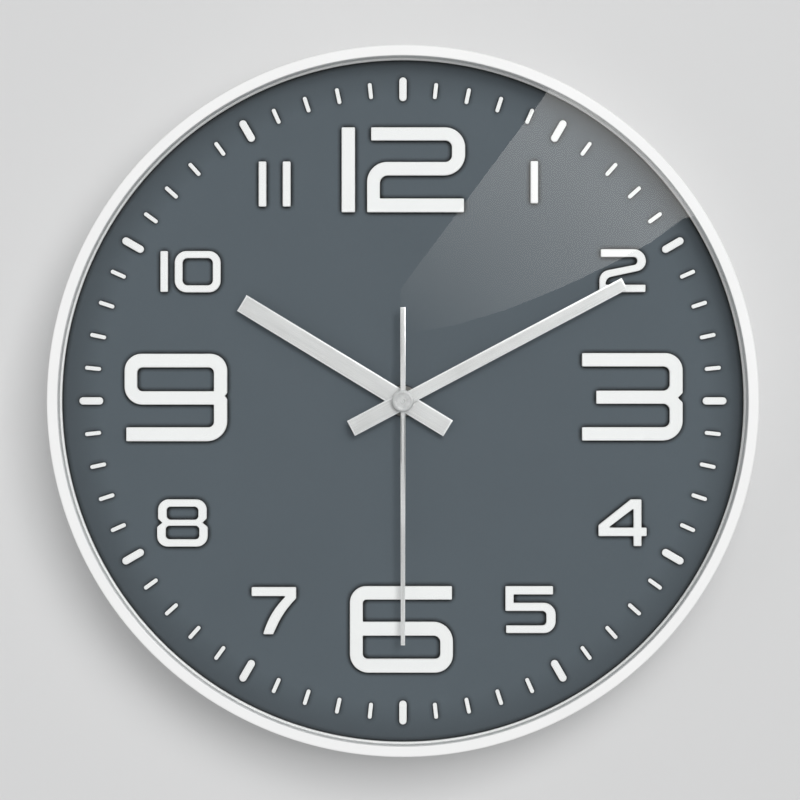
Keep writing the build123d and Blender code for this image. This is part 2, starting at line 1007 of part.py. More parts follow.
def gear_outline(centre, teeth, module, foot, phase):
    """Corner points of a straight-flanked gear, with the middle of a tooth at angle phase."""
    pitch = teeth * module / 2
    half = pi * module / 4 - tooth_relief
    tip = pitch + addendum * module
    root = pitch - dedendum * module
    points = []
    for tooth in range(teeth):
        middle = phase + 360 * tooth / teeth
        for radius, offset in (
            (root, -foot * half),
            (tip, -tip_share * half),
            (tip, tip_share * half),
            (root, foot * half),
        ):
            points.append(polar(centre, radius, middle + offset / radius * 180 / pi))
    return points


def meshing_phase(teeth, phase, mate_teeth, direction):
    """The phase of a gear that meshes with one whose phase is known, on a line at direction."""
    pitch = 360 / teeth
    ahead = (phase - direction) % pitch
    return direction + 180 - ahead * teeth / mate_teeth + 180 / mate_teeth


def arbor(name, centre, gears, rods, bore=0.0, windows=None):
    """One turning piece: gears of (teeth, module, foot, phase, low, high), rods of
    (radius, low, high), a bore through them all, and windows of (circle, radius)."""
    with BuildPart() as piece:
        for teeth, module, foot, phase, low, high in gears:
            with BuildSketch(at(low)):
                with BuildLine():
                    Polyline(*gear_outline(centre, teeth, module, foot, phase), close=True)
                make_face()
                if windows and foot == wheel_foot:
                    with Locations(centre):
                        with PolarLocations(windows[0], window_count, start_angle=45):
                            Circle(windows[1], mode=Mode.SUBTRACT)
            extrude(amount=high - low)
        for radius, low, high in rods:
            with BuildSketch(at(low)):
                with Locations(centre):
                    Circle(radius)
            extrude(amount=high - low)
        if bore:
            with BuildSketch(at(0)):
                with Locations(centre):
                    Circle(bore)
            extrude(amount=case_depth, mode=Mode.SUBTRACT)
    save(piece, name)


# Hour wheel on its tube, driven by the pinion of the motion work's minute wheel.
hour_phase = meshing_phase(motion_pinion_teeth, 0, hour_teeth, motion_direction - 180)
arbor(
    "hour_wheel",
    hand_axis,
    [(hour_teeth, hour_module, wheel_foot, hour_phase, *hour_wheel_span)],
    [(hour_tube, hour_wheel_span[0], hour_tube_front)],
    bore=hour_tube_bore,
    windows=hour_windows,
)
# Minute tube with the cannon pinion, and the centre wheel pressed on it.
arbor(
    "minute_tube",
    hand_axis,
    [(cannon_teeth, motion_module, pinion_foot, motion_direction, *cannon_span)],
    [(minute_tube_radius, minute_tube_back, minute_tube_front)],
    bore=minute_tube_bore,
)
third_mesh = third_direction - 180
centre_phase = meshing_phase(third_pinion_teeth, third_mesh, centre_teeth, third_mesh)
arbor(
    "centre_wheel",
    hand_axis,
    [(centre_teeth, minutes_module, wheel_foot, centre_phase, *centre_wheel_span)],
    [],
    bore=minute_tube_radius,
    windows=centre_windows,
)
# Minute wheel of the motion work, on a stud of the front case.
minute_phase = meshing_phase(cannon_teeth, motion_direction, minute_teeth, motion_direction)
arbor(
    "minute_wheel",
    motion_axis,
    [
        (minute_teeth, motion_module, wheel_foot, minute_phase, *minute_wheel_span),
        (motion_pinion_teeth, hour_module, pinion_foot, 0, *motion_pinion_span),
    ],
    [],
    bore=motion_stud + pivot_play,
    windows=minute_windows,
)
# Third wheel, from the seconds to the minutes.
third_phase = meshing_phase(second_pinion_teeth, third_direction, third_teeth, third_direction)
arbor(
    "third_wheel",
    third_axis,
    [
        (third_teeth, seconds_module, wheel_foot, third_phase, *third_wheel_span),
        (third_pinion_teeth, minutes_module, pinion_foot, third_mesh, *third_pinion_span),
    ],
    [(pivot_radius, pivot_back, front_pivot)],
    windows=third_windows,
)
# Second wheel with its pinion, pressed on the steel shaft that carries the second hand.
fifth_mesh = fifth_direction + 180
second_phase = meshing_phase(fifth_pinion_teeth, fifth_mesh, second_teeth, fifth_mesh)
arbor(
    "second_wheel",
    hand_axis,
    [
        (second_teeth, motor_module, wheel_foot, second_phase, *second_wheel_span),
        (second_pinion_teeth, seconds_module, pinion_foot, third_direction, *second_pinion_span),
    ],
    [],
    bore=second_shaft_radius,
    windows=second_windows,
)
arbor("second_shaft", hand_axis, [], [(second_shaft_radius, pivot_back, cap_back)])
# Fifth wheel, between the rotor and the second wheel.
rotor_mesh = rotor_direction + 180
fifth_phase = meshing_phase(rotor_teeth, rotor_mesh, fifth_teeth, rotor_mesh)
arbor(
    "fifth_wheel",
    fifth_axis,
    [
        (fifth_teeth, motor_module, wheel_foot, fifth_phase, *fifth_wheel_span),
        (fifth_pinion_teeth, motor_module, pinion_foot, fifth_mesh, *fifth_pinion_span),
    ],
    [(pivot_radius, pivot_back, plate_pivot)],
    windows=fifth_windows,
)
# Rotor: a steel pinion through a ring magnet, which turns inside the stator.
arbor(
    "rotor_pinion",
    rotor_axis,
    [(rotor_teeth, motor_module, pinion_foot, rotor_direction, *rotor_pinion_span)],
    [(rotor_arbor, pivot_back, plate_pivot)],
)
arbor("rotor_magnet", rotor_axis, [], [(rotor_magnet, *magnet_span)], bore=rotor_arbor)

# Setting knob: a scalloped disc behind the case, on a shaft whose pinion turns the minute wheel.
knob_phase = meshing_phase(minute_teeth, minute_phase, knob_teeth, knob_direction)
knob_corners = gear_outline(knob_axis, knob_teeth, motion_module, pinion_foot, knob_phase)
with BuildPart() as setting_knob:
    with BuildSketch(at(knob_back)):
        with Locations(knob_axis):
            Circle(knob_radius)
            with PolarLocations(knob_radius + scallop_radius / 2, scallop_count):
                Circle(scallop_radius, mode=Mode.SUBTRACT)
    extrude(amount=knob_front - knob_back)
    with BuildSketch(at(knob_back)):
        with Locations(knob_axis):
            Rectangle(*coin_slot)
    extrude(amount=coin_slot_depth, mode=Mode.SUBTRACT)
    with BuildSketch(at(knob_front)):
        with Locations(knob_axis):
            Circle(knob_shaft)
    extrude(amount=knob_pinion_span[0] - knob_front)
    with BuildSketch(at(knob_pinion_span[0])):
        with BuildLine():
            Polyline(*knob_corners, close=True)
        make_face()
    extrude(amount=knob_pinion_span[1] - knob_pinion_span[0])
    with BuildSketch(at(knob_pinion_span[1])):
        with Locations(knob_axis):
            Circle(pivot_radius)
    extrude(amount=front_pivot - knob_pinion_span[1])
save(setting_knob, "setting_knob")

# ---------------------------------------------------------------- motor and electronics

# Stator: a slotted steel plate round the rotor, closed by the core that runs through the coil.
stator_middle = (stator_low + stator_high) / 2
with BuildPart() as stator:
    with BuildSketch(at(core_back + sheet)):
        with Locations(((stator_left + stator_right) / 2, stator_middle)):
            RectangleRounded(
                stator_right - stator_left, stator_high - stator_low, stator_round
            )
        with Locations(rotor_axis):
            Circle(stator_bore, mode=Mode.SUBTRACT)
            Rectangle(stator_slot, 2 * stator_bore + stator_round, mode=Mode.SUBTRACT)
    extrude(amount=sheet)
save(stator, "stator")

with BuildPart() as coil_core:
    with BuildSketch(at(core_back)):
        with Locations((coil_x, stator_middle)):
            Rectangle(core_width, stator_high - stator_low)
        for z in (stator_low + lug_width / 2, stator_high - lug_width / 2):
            with Locations(((stator_left + coil_x) / 2, z)):
                Rectangle(coil_x - stator_left, lug_width)
    extrude(amount=sheet)
save(coil_core, "coil_core")

# Bobbin: a square tube with a flange at each end; the winding fills the space between them.
coil_centre = (coil_x, -(core_back + sheet / 2))
with BuildPart() as coil_bobbin:
    with BuildSketch(Plane.XY.offset(coil_low), Plane.XY.offset(coil_high - sheet)):
        with Locations(coil_centre):
            Rectangle(*flange_size)
    extrude(amount=sheet)
    with BuildSketch(Plane.XY.offset(coil_low)):
        with Locations(coil_centre):
            Rectangle(*bobbin_tube)
    extrude(amount=coil_high - coil_low)
    with BuildSketch(Plane.XY.offset(coil_low)):
        with Locations(coil_centre):
            Rectangle(core_width, sheet)
    extrude(amount=coil_high - coil_low, mode=Mode.SUBTRACT)
save(coil_bobbin, "coil_bobbin")

with BuildPart() as coil_winding:
    with BuildSketch(Plane.XY.offset(coil_low + sheet)):
        with Locations(coil_centre):
            RectangleRounded(*winding_size, winding_round)
            Rectangle(*bobbin_tube, mode=Mode.SUBTRACT)
    extrude(amount=coil_high - coil_low - 2 * sheet)
save(coil_winding, "coil_winding")

with BuildPart() as circuit_board:
    with BuildSketch(at(board_back)):
        with Locations((0, (board_low + board_high) / 2)):
            RectangleRounded(2 * board_half, board_high - board_low, board_round)
    extrude(amount=sheet)
save(circuit_board, "circuit_board")

with BuildPart() as control_chip:
    with BuildSketch(at(board_back - chip_height)):
        with Locations(chip_place):
            Circle(chip_radius)
    extrude(amount=chip_height)
    fillet(control_chip.edges().group_by(Axis.Y)[-1], chip_height / 2)
save(control_chip, "control_chip")

with BuildPart() as quartz_crystal:
    with BuildSketch(Plane.YZ.offset(crystal_start)):
        with Locations((crystal_radius - board_back, crystal_z)):
            Circle(crystal_radius)
    extrude(amount=crystal_length)
save(quartz_crystal, "quartz_crystal")


def contact(name, side):
    """A battery contact against one side wall: a pad in the bay and a strip up to the board."""
    wall = Plane.YZ.offset(side * contact_back)
    with BuildPart() as piece:
        with BuildSketch(wall):
            with Locations((-battery_height, battery_z)):
                Rectangle(*contact_pad)
            with Locations((-strip_height, (battery_z + contact_top) / 2)):
                Rectangle(strip_width, contact_top - battery_z)
        extrude(amount=-side * contact_sheet)
        with BuildSketch(wall):
            with Locations((-battery_height, battery_z)):
                Circle(contact_dimple)
        extrude(amount=-side * (contact_back - battery_end - washer_play))
    save(piece, name)


contact("positive_contact", 1)
contact("negative_contact", -1)

with BuildPart() as battery_can:
    with BuildSketch(Plane.YZ.offset(-battery_end)):
        with Locations((-battery_height, battery_z)):
            Circle(battery_radius)
    extrude(amount=battery_end + battery_can_end)
    fillet(battery_can.edges().filter_by(GeomType.CIRCLE), battery_round)
save(battery_can, "battery_can")

with BuildPart() as battery_cap:
    with BuildSketch(Plane.YZ.offset(battery_can_end)):
        with Locations((-battery_height, battery_z)):
            Circle(battery_cap_radius)
    extrude(amount=battery_end - battery_can_end)
    fillet(battery_cap.edges().filter_by(GeomType.CIRCLE).group_by(Axis.X)[-1], battery_round)
save(battery_cap, "battery_cap")
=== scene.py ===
"""The looks of a round quartz wall clock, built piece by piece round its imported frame."""

import math

import bmesh
import bpy
from bpy.props import FloatProperty, FloatVectorProperty, IntProperty, PointerProperty
from mathutils import Matrix, Vector


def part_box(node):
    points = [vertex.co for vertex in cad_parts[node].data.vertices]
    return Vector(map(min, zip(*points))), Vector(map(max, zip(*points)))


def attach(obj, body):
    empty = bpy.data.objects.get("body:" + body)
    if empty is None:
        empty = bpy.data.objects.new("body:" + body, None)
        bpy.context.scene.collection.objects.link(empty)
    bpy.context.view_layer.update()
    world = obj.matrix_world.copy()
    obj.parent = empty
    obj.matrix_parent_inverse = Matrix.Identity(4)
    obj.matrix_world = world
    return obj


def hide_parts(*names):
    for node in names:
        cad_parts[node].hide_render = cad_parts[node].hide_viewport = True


bl_info = {
    "name": "Wall Clock",
    "version": (1, 0, 0),
    "blender": (4, 5, 0),
    "location": "3D View > Sidebar > Wall Clock",
    "description": "Builds a round quartz wall clock, piece by piece",
    "category": "Object",
}

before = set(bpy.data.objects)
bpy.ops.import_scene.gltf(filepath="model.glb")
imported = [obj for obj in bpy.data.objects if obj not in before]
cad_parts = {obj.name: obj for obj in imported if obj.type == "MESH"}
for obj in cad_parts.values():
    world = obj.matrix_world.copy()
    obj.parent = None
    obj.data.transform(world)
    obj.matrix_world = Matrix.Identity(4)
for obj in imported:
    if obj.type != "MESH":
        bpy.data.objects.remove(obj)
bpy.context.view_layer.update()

# Pieces are drawn as on the dial: X across, Y up, Z out from the wall, in millimetres.
# stood() then stands them up in the frame, where the dial faces -Y, in metres.
MM = 0.001
MICRON = 0.000001
UPRIGHT = Matrix.Rotation(math.radians(90), 4, "X") @ Matrix.Scale(MM, 4)
# Edges that turn by more than this are left sharp.
SHARP_EDGE = math.radians(35)
# Profiles are turned round a circle of this radius, in millimetres.
TURNING_CIRCLE = 100.0
# Where the hands point at rest, in degrees clockwise from 12.
HOUR_TURN = 301.3
MINUTE_TURN = 62.1
SECOND_TURN = 180.0
# Circles round the hand axis that the case's fixings are on, in millimetres.
SCREW_CIRCLE = 138.0
BUMPER_CIRCLE = 128.0


def reach(node):
    """The largest distance of a CAD node from the hand axis, in millimetres."""
    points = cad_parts[node].data.vertices
    return max(math.hypot(point.co.x, point.co.z) for point in points) / MM


def span(node):
    """The lowest and highest height of a CAD node above the wall, in millimetres."""
    low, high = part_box(node)
    return -high.y / MM, -low.y / MM


# ---------------------------------------------------------------- settings


def length_setting(name, description, millimetres):
    """A length that a user may change."""
    return FloatProperty(
        name=name, description=description, default=millimetres * MM, unit="LENGTH"
    )


def colour_setting(name, description, colour):
    """A colour that a user may change."""
    return FloatVectorProperty(
        name=name, description=description, default=colour, size=3, subtype="COLOR"
    )


class ClockCaseSettings(bpy.types.PropertyGroup):
    """Sizes and colours of the case."""

    radius: length_setting("Case radius", "Outer radius of the case", reach("front_ring"))
    lip: length_setting(
        "Front face", "Width of the front face, from the edge of the case to the glass", 4.5
    )
    edge: length_setting("Edge round", "Radius of the rounded edges of the front face", 0.6)
    segments: IntProperty(
        name="Segments", description="Faces round each turned piece", default=240, min=24
    )
    white: colour_setting("Case white", "Colour of the moulded case", (0.89, 0.89, 0.885))
    cover: colour_setting("Cover", "Colour of the rear cover", (0.74, 0.74, 0.73))


class ClockDialSettings(bpy.types.PropertyGroup):
    """Sizes and colours of the dial, its markers and its numerals."""

    slate: colour_setting("Dial", "Colour of the dial", (0.091, 0.112, 0.130))
    white: colour_setting(
        "Numerals", "Colour of the numerals and markers", (0.95, 0.95, 0.945)
    )
    circle: length_setting(
        "Marker circle", "Radius of the circle that the middles of the markers are on", 132.3
    )
    hour_length: length_setting("Hour marker length", "Along the radius", 10.15)
    hour_width: length_setting("Hour marker width", "Across the radius", 3.2)
    minute_length: length_setting("Minute marker length", "Along the radius", 6.85)
    minute_width: length_setting("Minute marker width", "Across the radius", 1.7)


class ClockHandSettings(bpy.types.PropertyGroup):
    """Sizes and colours of the hands."""

    silver: colour_setting("Hands", "Colour of the lacquered hands", (0.77, 0.77, 0.765))
    # The border's brighter colour is a painted highlight.
    border: length_setting(
        "Hand border",
        "Width of the bright border that slopes along the edges of the hands",
        0.55,
    )


class ClockMovementSettings(bpy.types.PropertyGroup):
    """Colours and counts of the movement."""

    housing: colour_setting("Housing", "Colour of the movement housing", (0.022, 0.022, 0.024))
    coil_turns: IntProperty(
        name="Coil turns", description="Turns of wire to show on the coil", default=64, min=8
    )
    sleeve: colour_setting(
        "Battery sleeve", "Colour of the long part of the battery sleeve", (0.03, 0.045, 0.075)
    )


class ClockStageSettings(bpy.types.PropertyGroup):
    """Wall, lights and camera."""

    distance: length_setting("Camera distance", "From the front of the clock", 1400.0)
    view_width: length_setting(
        "View width", "Width of the view at the front of the clock", 336.8
    )
    wall: colour_setting("Wall", "Colour of the wall", (0.66, 0.66, 0.66))
    key_power: FloatProperty(
        name="Key light", description="Power of the main light, in watts", default=138.0
    )
    shine_power: FloatProperty(
        name="Shine light",
        description="Power of the light that only gloss and metal pick up, in watts",
        default=14.0,
    )
    fill_power: FloatProperty(
        name="Fill light", description="Power of the fill light, in watts", default=5.0
    )
    rear_power: FloatProperty(
        name="Rear light", description="Power of the light behind the wall, in watts", default=14.0
    )
    air: FloatProperty(
        name="Air", description="Strength of the even light from all round", default=0.4
    )


# ---------------------------------------------------------------- building helpers


def node(tree, kind, inputs=None, **settings):
    """Add a node, set its properties, and feed its inputs from sockets or plain values."""
    made = tree.nodes.new(kind)
    for key, value in settings.items():
        setattr(made, key, value)
    for key, value in (inputs or {}).items():
        if isinstance(value, bpy.types.NodeSocket):
            tree.links.new(value, made.inputs[key])
        else:
            made.inputs[key].default_value = value
    return made


def maths(tree, operation, *values):
    """What a maths node makes of sockets or plain numbers."""
    return node(tree, "ShaderNodeMath", dict(enumerate(values)), operation=operation).outputs[0]


def stood(mesh):
    """Stand a mesh drawn on the dial up in the frame, and make its faces point outwards. Faces
    square to the hand axis shade flat, and the others smooth."""
    mesh.transform(UPRIGHT)
    shell = bmesh.new()
    shell.from_mesh(mesh)
    bmesh.ops.remove_doubles(shell, verts=shell.verts, dist=1e-6)
    bmesh.ops.recalc_face_normals(shell, faces=shell.faces)
    for face in shell.faces:
        face.smooth = abs(face.normal.y) < 0.9999
    for edge in shell.edges:
        edge.smooth = len(edge.link_faces) == 2 and edge.calc_face_angle() < SHARP_EDGE
    shell.to_mesh(mesh)
    shell.free()
    return mesh


def keep(name, mesh, body, slot, *replaced):
    """Make a finished mesh a piece of the clock, in place of the CAD nodes it stands for."""
    mesh.name = name
    piece = bpy.data.objects.new(name, mesh)
    bpy.context.scene.collection.objects.link(piece)
    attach(piece, body)
    if replaced:
        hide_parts(*replaced)
    return piece


def dress(material, *nodes):
    """Give CAD nodes a material."""
    for name in nodes:
        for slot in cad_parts[name].material_slots:
            slot.material = material


def grown(mesh, tree, **inputs):
    """Run a node tree on a mesh and return what it makes, as a plain mesh."""
    carrier = bpy.data.objects.new("carrier", mesh)
    bpy.context.scene.collection.objects.link(carrier)
    modifier = carrier.modifiers.new(tree.name, "NODES")
    modifier.node_group = tree
    for item in tree.interface.items_tree:
        key = item.name.lower().replace(" ", "_")
        if item.item_type == "SOCKET" and item.in_out == "INPUT" and key in inputs:
            modifier[item.identifier] = inputs.pop(key)
    if inputs:
        raise ValueError(f"{tree.name} has no input {sorted(inputs)}")
    depsgraph = bpy.context.evaluated_depsgraph_get()
    made = bpy.data.meshes.new_from_object(
        carrier.evaluated_get(depsgraph), preserve_all_data_layers=True, depsgraph=depsgraph
    )
    carrier.modifiers.remove(modifier)
    bpy.data.objects.remove(carrier)
    bpy.data.meshes.remove(mesh)
    return made


def new_tree(name, **inputs):
    """An empty Geometry Nodes tree with a geometry input and the named inputs."""
    tree = bpy.data.node_groups.new(name, "GeometryNodeTree")
    tree.interface.new_socket("Part", in_out="INPUT", socket_type="NodeSocketGeometry")
    for key, (kind, value) in inputs.items():
        socket = tree.interface.new_socket(
            key.replace("_", " ").capitalize(), in_out="INPUT", socket_type="NodeSocket" + kind
        )
        socket.default_value = value
    tree.interface.new_socket("Material", in_out="INPUT", socket_type="NodeSocketMaterial")
    tree.interface.new_socket("Geometry", in_out="OUTPUT", socket_type="NodeSocketGeometry")
    start = tree.nodes.new("NodeGroupInput").outputs
    return tree, start


def end_tree(tree, start, geometry):
    """Finish a tree with Realize Instances and Set Material."""
    real = node(tree, "GeometryNodeRealizeInstances", {"Geometry": geometry})
    painted = node(
        tree,
        "GeometryNodeSetMaterial",
        {"Geometry": real.outputs[0], "Material": start["Material"]},
    )
    node(tree, "NodeGroupOutput", {"Geometry": painted.outputs[0]})
    return tree


def copies_at(tree, count, place, instance, facing=(0.0, 0.0, 0.0)):
    """Copies of a part at places worked out from each copy's number."""
    points = node(tree, "GeometryNodePoints", {"Count": count})
    put = node(
        tree, "GeometryNodeSetPosition", {"Geometry": points.outputs[0], "Position": place}
    )
    return node(
        tree,
        "GeometryNodeInstanceOnPoints",
        {"Points": put.outputs[0], "Instance": instance, "Rotation": facing},
    ).outputs[0]


def turning_tree():
    """A profile of radius and height, with a corner radius at each point, turned round."""
    tree, start = new_tree("Turned piece", segments=("Int", 240), corner_steps=("Int", 5))
    line = node(tree, "GeometryNodeMeshToCurve", {"Mesh": start["Part"]})
    corner = node(
        tree, "GeometryNodeInputNamedAttribute", {"Name": "corner"}, data_type="FLOAT"
    )
    rounded = node(
        tree,
        "GeometryNodeFilletCurve",
        {
            "Curve": line.outputs[0],
            "Count": start["Corner steps"],
            "Radius": corner.outputs[0],
            "Limit Radius": True,
        },
        mode="POLY",
    )
    circle = node(
        tree,
        "GeometryNodeCurvePrimitiveCircle",
        {"Resolution": start["Segments"], "Radius": TURNING_CIRCLE},
    )
    turned = node(
        tree,
        "GeometryNodeCurveToMesh",
        {"Curve": circle.outputs[0], "Profile Curve": rounded.outputs[0]},
    )
    return end_tree(tree, start, turned.outputs[0])


def ring_tree():
    """Copies of a part round a circle, each turned to face outwards."""
    tree, start = new_tree(
        "Ring of parts",
        count=("Int", 12),
        radius=("Float", 100.0),
        first_angle=("Float", 0.0),
        step_angle=("Float", 30.0),
    )
    index = node(tree, "GeometryNodeInputIndex").outputs[0]
    turn = maths(tree, "MULTIPLY_ADD", index, start["Step angle"], start["First angle"])
    angle = maths(tree, "RADIANS", turn)
    facing = node(tree, "ShaderNodeCombineXYZ", {"Z": angle})
    out = node(tree, "ShaderNodeCombineXYZ", {"X": start["Radius"]})
    place = node(
        tree,
        "ShaderNodeVectorRotate",
        {"Vector": out.outputs[0], "Angle": angle},
        rotation_type="Z_AXIS",
    )
    copies = copies_at(
        tree, start["Count"], place.outputs[0], start["Part"], facing.outputs[0]
    )
    return end_tree(tree, start, copies)


def coil_tree():
    """Turns of round wire, side by side along Z, each a rounded rectangle."""
    tree, start = new_tree(
        "Wound coil",
        turns=("Int", 64),
        length=("Float", 14.0),
        width=("Float", 6.0),
        depth=("Float", 4.0),
        corner=("Float", 1.1),
    )
    frame_line = node(
        tree,
        "GeometryNodeCurvePrimitiveQuadrilateral",
        {"Width": start["Width"], "Height": start["Depth"]},
        mode="RECTANGLE",
    )
    loop = node(
        tree,
        "GeometryNodeFilletCurve",
        {
            "Curve": frame_line.outputs[0],
            "Count": 5,
            "Radius": start["Corner"],
            "Limit Radius": True,
        },
        mode="POLY",
    )
    # The wire's radius is a little over half its pitch, so that no gap shows between turns.
    pitch = maths(tree, "DIVIDE", start["Length"], start["Turns"])
    wire_radius = maths(tree, "MULTIPLY", pitch, 0.56)
    wire = node(
        tree, "GeometryNodeCurvePrimitiveCircle", {"Resolution": 6, "Radius": wire_radius}
    )
    turn = node(
        tree,
        "GeometryNodeCurveToMesh",
        {"Curve": loop.outputs[0], "Profile Curve": wire.outputs[0]},
    )
    index = node(tree, "GeometryNodeInputIndex").outputs[0]
    along = maths(tree, "MULTIPLY_ADD", index, pitch, maths(tree, "MULTIPLY", pitch, 0.5))
    place = node(tree, "ShaderNodeCombineXYZ", {"Z": along})
    copies = copies_at(tree, start["Turns"], place.outputs[0], turn.outputs[0])
    return end_tree(tree, start, copies)


trees = {}


def tree_of(make):
    """The node tree that a function makes, made once."""
    if make not in trees:
        trees[make] = make()
    return trees[make]


def supported(corners, closed):
    """The corners of a profile, with a point just beyond each rounded one, on both sides of
    it, so that the straight runs between them shade straight. A point that would lie near
    the middle of its run, or past it, is left out."""
    gap, longest = 0.04, 0.45
    made = []
    for index, (radius, height, corner) in enumerate(corners):
        here = Vector((radius, height))
        inner = corner > 0 and (closed or 0 < index < len(corners) - 1)
        sides = []
        if inner:
            for other in (index - 1, index + 1):
                sides.append(Vector(corners[other % len(corners)][:2]) - here)
            room = corner / math.tan(sides[0].angle(sides[1]) / 2) + gap
        beyond = [
            (*(here + side.normalized() * room), 0.0) if room < longest * side.length else None
            for side in sides
        ]
        made += [point for point in beyond[:1] if point]
        made.append((radius, height, corner))
        made += [point for point in beyond[1:] if point]
    return made


def turned(corners, material, segments, closed=True, corner_steps=5):
    """A mesh turned round the Z axis from (radius, height, corner radius), in millimetres."""
    corners = supported(corners, closed)
    profile = bpy.data.meshes.new("profile")
    # The node tree's circle adds its own radius, and turns the profile's height over.
    points = [(radius - TURNING_CIRCLE, -height, 0.0) for radius, height, corner in corners]
    links = [(index, index + 1) for index in range(len(corners) - 1)]
    if closed:
        links.append((len(corners) - 1, 0))
    profile.from_pydata(points, links, [])
    rounds = profile.attributes.new("corner", "FLOAT", "POINT")
    for index, (radius, height, corner) in enumerate(corners):
        rounds.data[index].value = corner
    return grown(
        profile,
        tree_of(turning_tree),
        segments=segments,
        corner_steps=corner_steps,
        material=material,
    )


def ringed(mesh, material, count, radius, first, step):
    """Copies of a mesh round the hand axis, from one angle on, in degrees."""
    return grown(
        mesh,
        tree_of(ring_tree),
        count=count,
        radius=float(radius),
        first_angle=float(first),
        step_angle=float(step),
        material=material,
    )


def flat_shape(outlines, low, high, bevel, steps=2):
    """A flat mesh from outlines of (x, y), holes given the other way round, with its edges
    bevelled, from one height to another."""
    drawing = bpy.data.curves.new("outline", "CURVE")
    drawing.dimensions = "2D"
    drawing.fill_mode = "BOTH"
    drawing.extrude = (high - low) / 2 - bevel
    drawing.bevel_depth = bevel
    drawing.bevel_resolution = steps
    drawing.offset = -bevel
    for outline in outlines:
        line = drawing.splines.new("POLY")
        line.points.add(len(outline) - 1)
        line.use_cyclic_u = True
        for point, (x, y) in zip(line.points, outline):
            point.co = (x, y, 0.0, 1.0)
    holder = bpy.data.objects.new("outline", drawing)
    bpy.context.scene.collection.objects.link(holder)
    depsgraph = bpy.context.evaluated_depsgraph_get()
    mesh = bpy.data.meshes.new_from_object(holder.evaluated_get(depsgraph), depsgraph=depsgraph)
    bpy.data.objects.remove(holder)
    bpy.data.curves.remove(drawing)
    mesh.transform(Matrix.Translation((0, 0, (low + high) / 2)))
    return mesh


def raise_face(mesh, border, rise):
    """Raise the face of a flat shape, so that a sloping border is left round it."""
    shape = bmesh.new()
    shape.from_mesh(mesh)
    bmesh.ops.remove_doubles(shape, verts=shape.verts, dist=1e-4)
    bmesh.ops.recalc_face_normals(shape, faces=shape.faces)
    face = [item for item in shape.faces if item.normal.z > 0.999]
    bmesh.ops.inset_region(
        shape, faces=face, thickness=border, depth=rise, use_boundary=True, use_even_offset=True
    )
    shape.to_mesh(mesh)
    shape.free()


def joined(*meshes):
    """Several meshes of one material as one."""
    whole = bmesh.new()
    for mesh in meshes:
        whole.from_mesh(mesh)
    for mesh in meshes[1:]:
        bpy.data.meshes.remove(mesh)
    whole.to_mesh(meshes[0])
    whole.free()
    return meshes[0]


def cut(mesh, *tools):
    """A mesh with the shapes of other meshes cut out of it."""
    holder = bpy.data.objects.new("cut", mesh)
    bpy.context.scene.collection.objects.link(holder)
    cutters = []
    for tool in tools:
        cutter = bpy.data.objects.new("cutter", tool)
        bpy.context.scene.collection.objects.link(cutter)
        cutters.append(cutter)
        modifier = holder.modifiers.new("cut", "BOOLEAN")
        modifier.object = cutter
        modifier.solver = "EXACT"
    depsgraph = bpy.context.evaluated_depsgraph_get()
    made = bpy.data.meshes.new_from_object(holder.evaluated_get(depsgraph), depsgraph=depsgraph)
    for leftover in (holder, *cutters):
        bpy.data.objects.remove(leftover)
    return made


def arc(centre, radius, first, last, steps):
    """Points along an arc, angles in degrees."""
    points = []
    for step in range(steps + 1):
        angle = math.radians(first + (last - first) * step / steps)
        points.append(
            (centre[0] + radius * math.cos(angle), centre[1] + radius * math.sin(angle))
        )
    return points


def rounded_bar(length, width, corner, steps):
    """The outline of a bar with rounded corners, lying along X."""
    x, y = length / 2 - corner, width / 2 - corner
    return (
        arc((x, y), corner, 0, 90, steps)
        + arc((-x, y), corner, 90, 180, steps)
        + arc((-x, -y), corner, 180, 270, steps)
        + arc((x, -y), corner, 270, 360, steps)
    )


# ---------------------------------------------------------------- finishes


def finish_of(name, **shader_values):
    """A new material with a Principled shader. Returns it, its tree and its shader."""
    material = bpy.data.materials.new(name)
    material.use_nodes = True
    tree = material.node_tree
    tree.nodes.clear()
    shader = node(tree, "ShaderNodeBsdfPrincipled", shader_values)
    node(tree, "ShaderNodeOutputMaterial", {"Surface": shader.outputs[0]})
    return material, tree, shader


def place_of(tree, scale=(1, 1, 1), turn=0.0, centre=(0, 0, 0)):
    """Object coordinates, moved to a centre, turned about the hand axis and stretched."""
    where = node(tree, "ShaderNodeTexCoord").outputs["Object"]
    moved = node(
        tree, "ShaderNodeVectorMath", {0: where, 1: Vector(centre)}, operation="SUBTRACT"
    ).outputs[0]
    turned_place = node(
        tree,
        "ShaderNodeVectorRotate",
        {"Vector": moved, "Angle": math.radians(turn)},
        rotation_type="Y_AXIS",
    ).outputs[0]
    return node(
        tree, "ShaderNodeMapping", {"Vector": turned_place, "Scale": scale}
    ).outputs[0]


def noise(tree, where, scale, detail=3.0, seed=0.0):
    """Fractal noise from 0 to 1."""
    return node(
        tree,
        "ShaderNodeTexNoise",
        {"Vector": where, "W": seed, "Scale": scale, "Detail": detail, "Roughness": 0.55},
        noise_dimensions="4D",
    ).outputs["Fac"]


def between(tree, value, low, high, start=0.3, stop=0.7):
    """A value from start to stop turned into one from low to high."""
    return node(
        tree,
        "ShaderNodeMapRange",
        {"Value": value, "From Min": start, "From Max": stop, "To Min": low, "To Max": high},
    ).outputs[0]


def mixed(tree, share, first, second):
    """A colour part of the way from one to another, as sockets or red, green and blue."""
    inputs = {0: share}
    for index, colour in ((6, first), (7, second)):
        plain = not isinstance(colour, bpy.types.NodeSocket)
        inputs[index] = (*colour, 1.0) if plain else colour
    return node(tree, "ShaderNodeMix", inputs, data_type="RGBA").outputs[2]


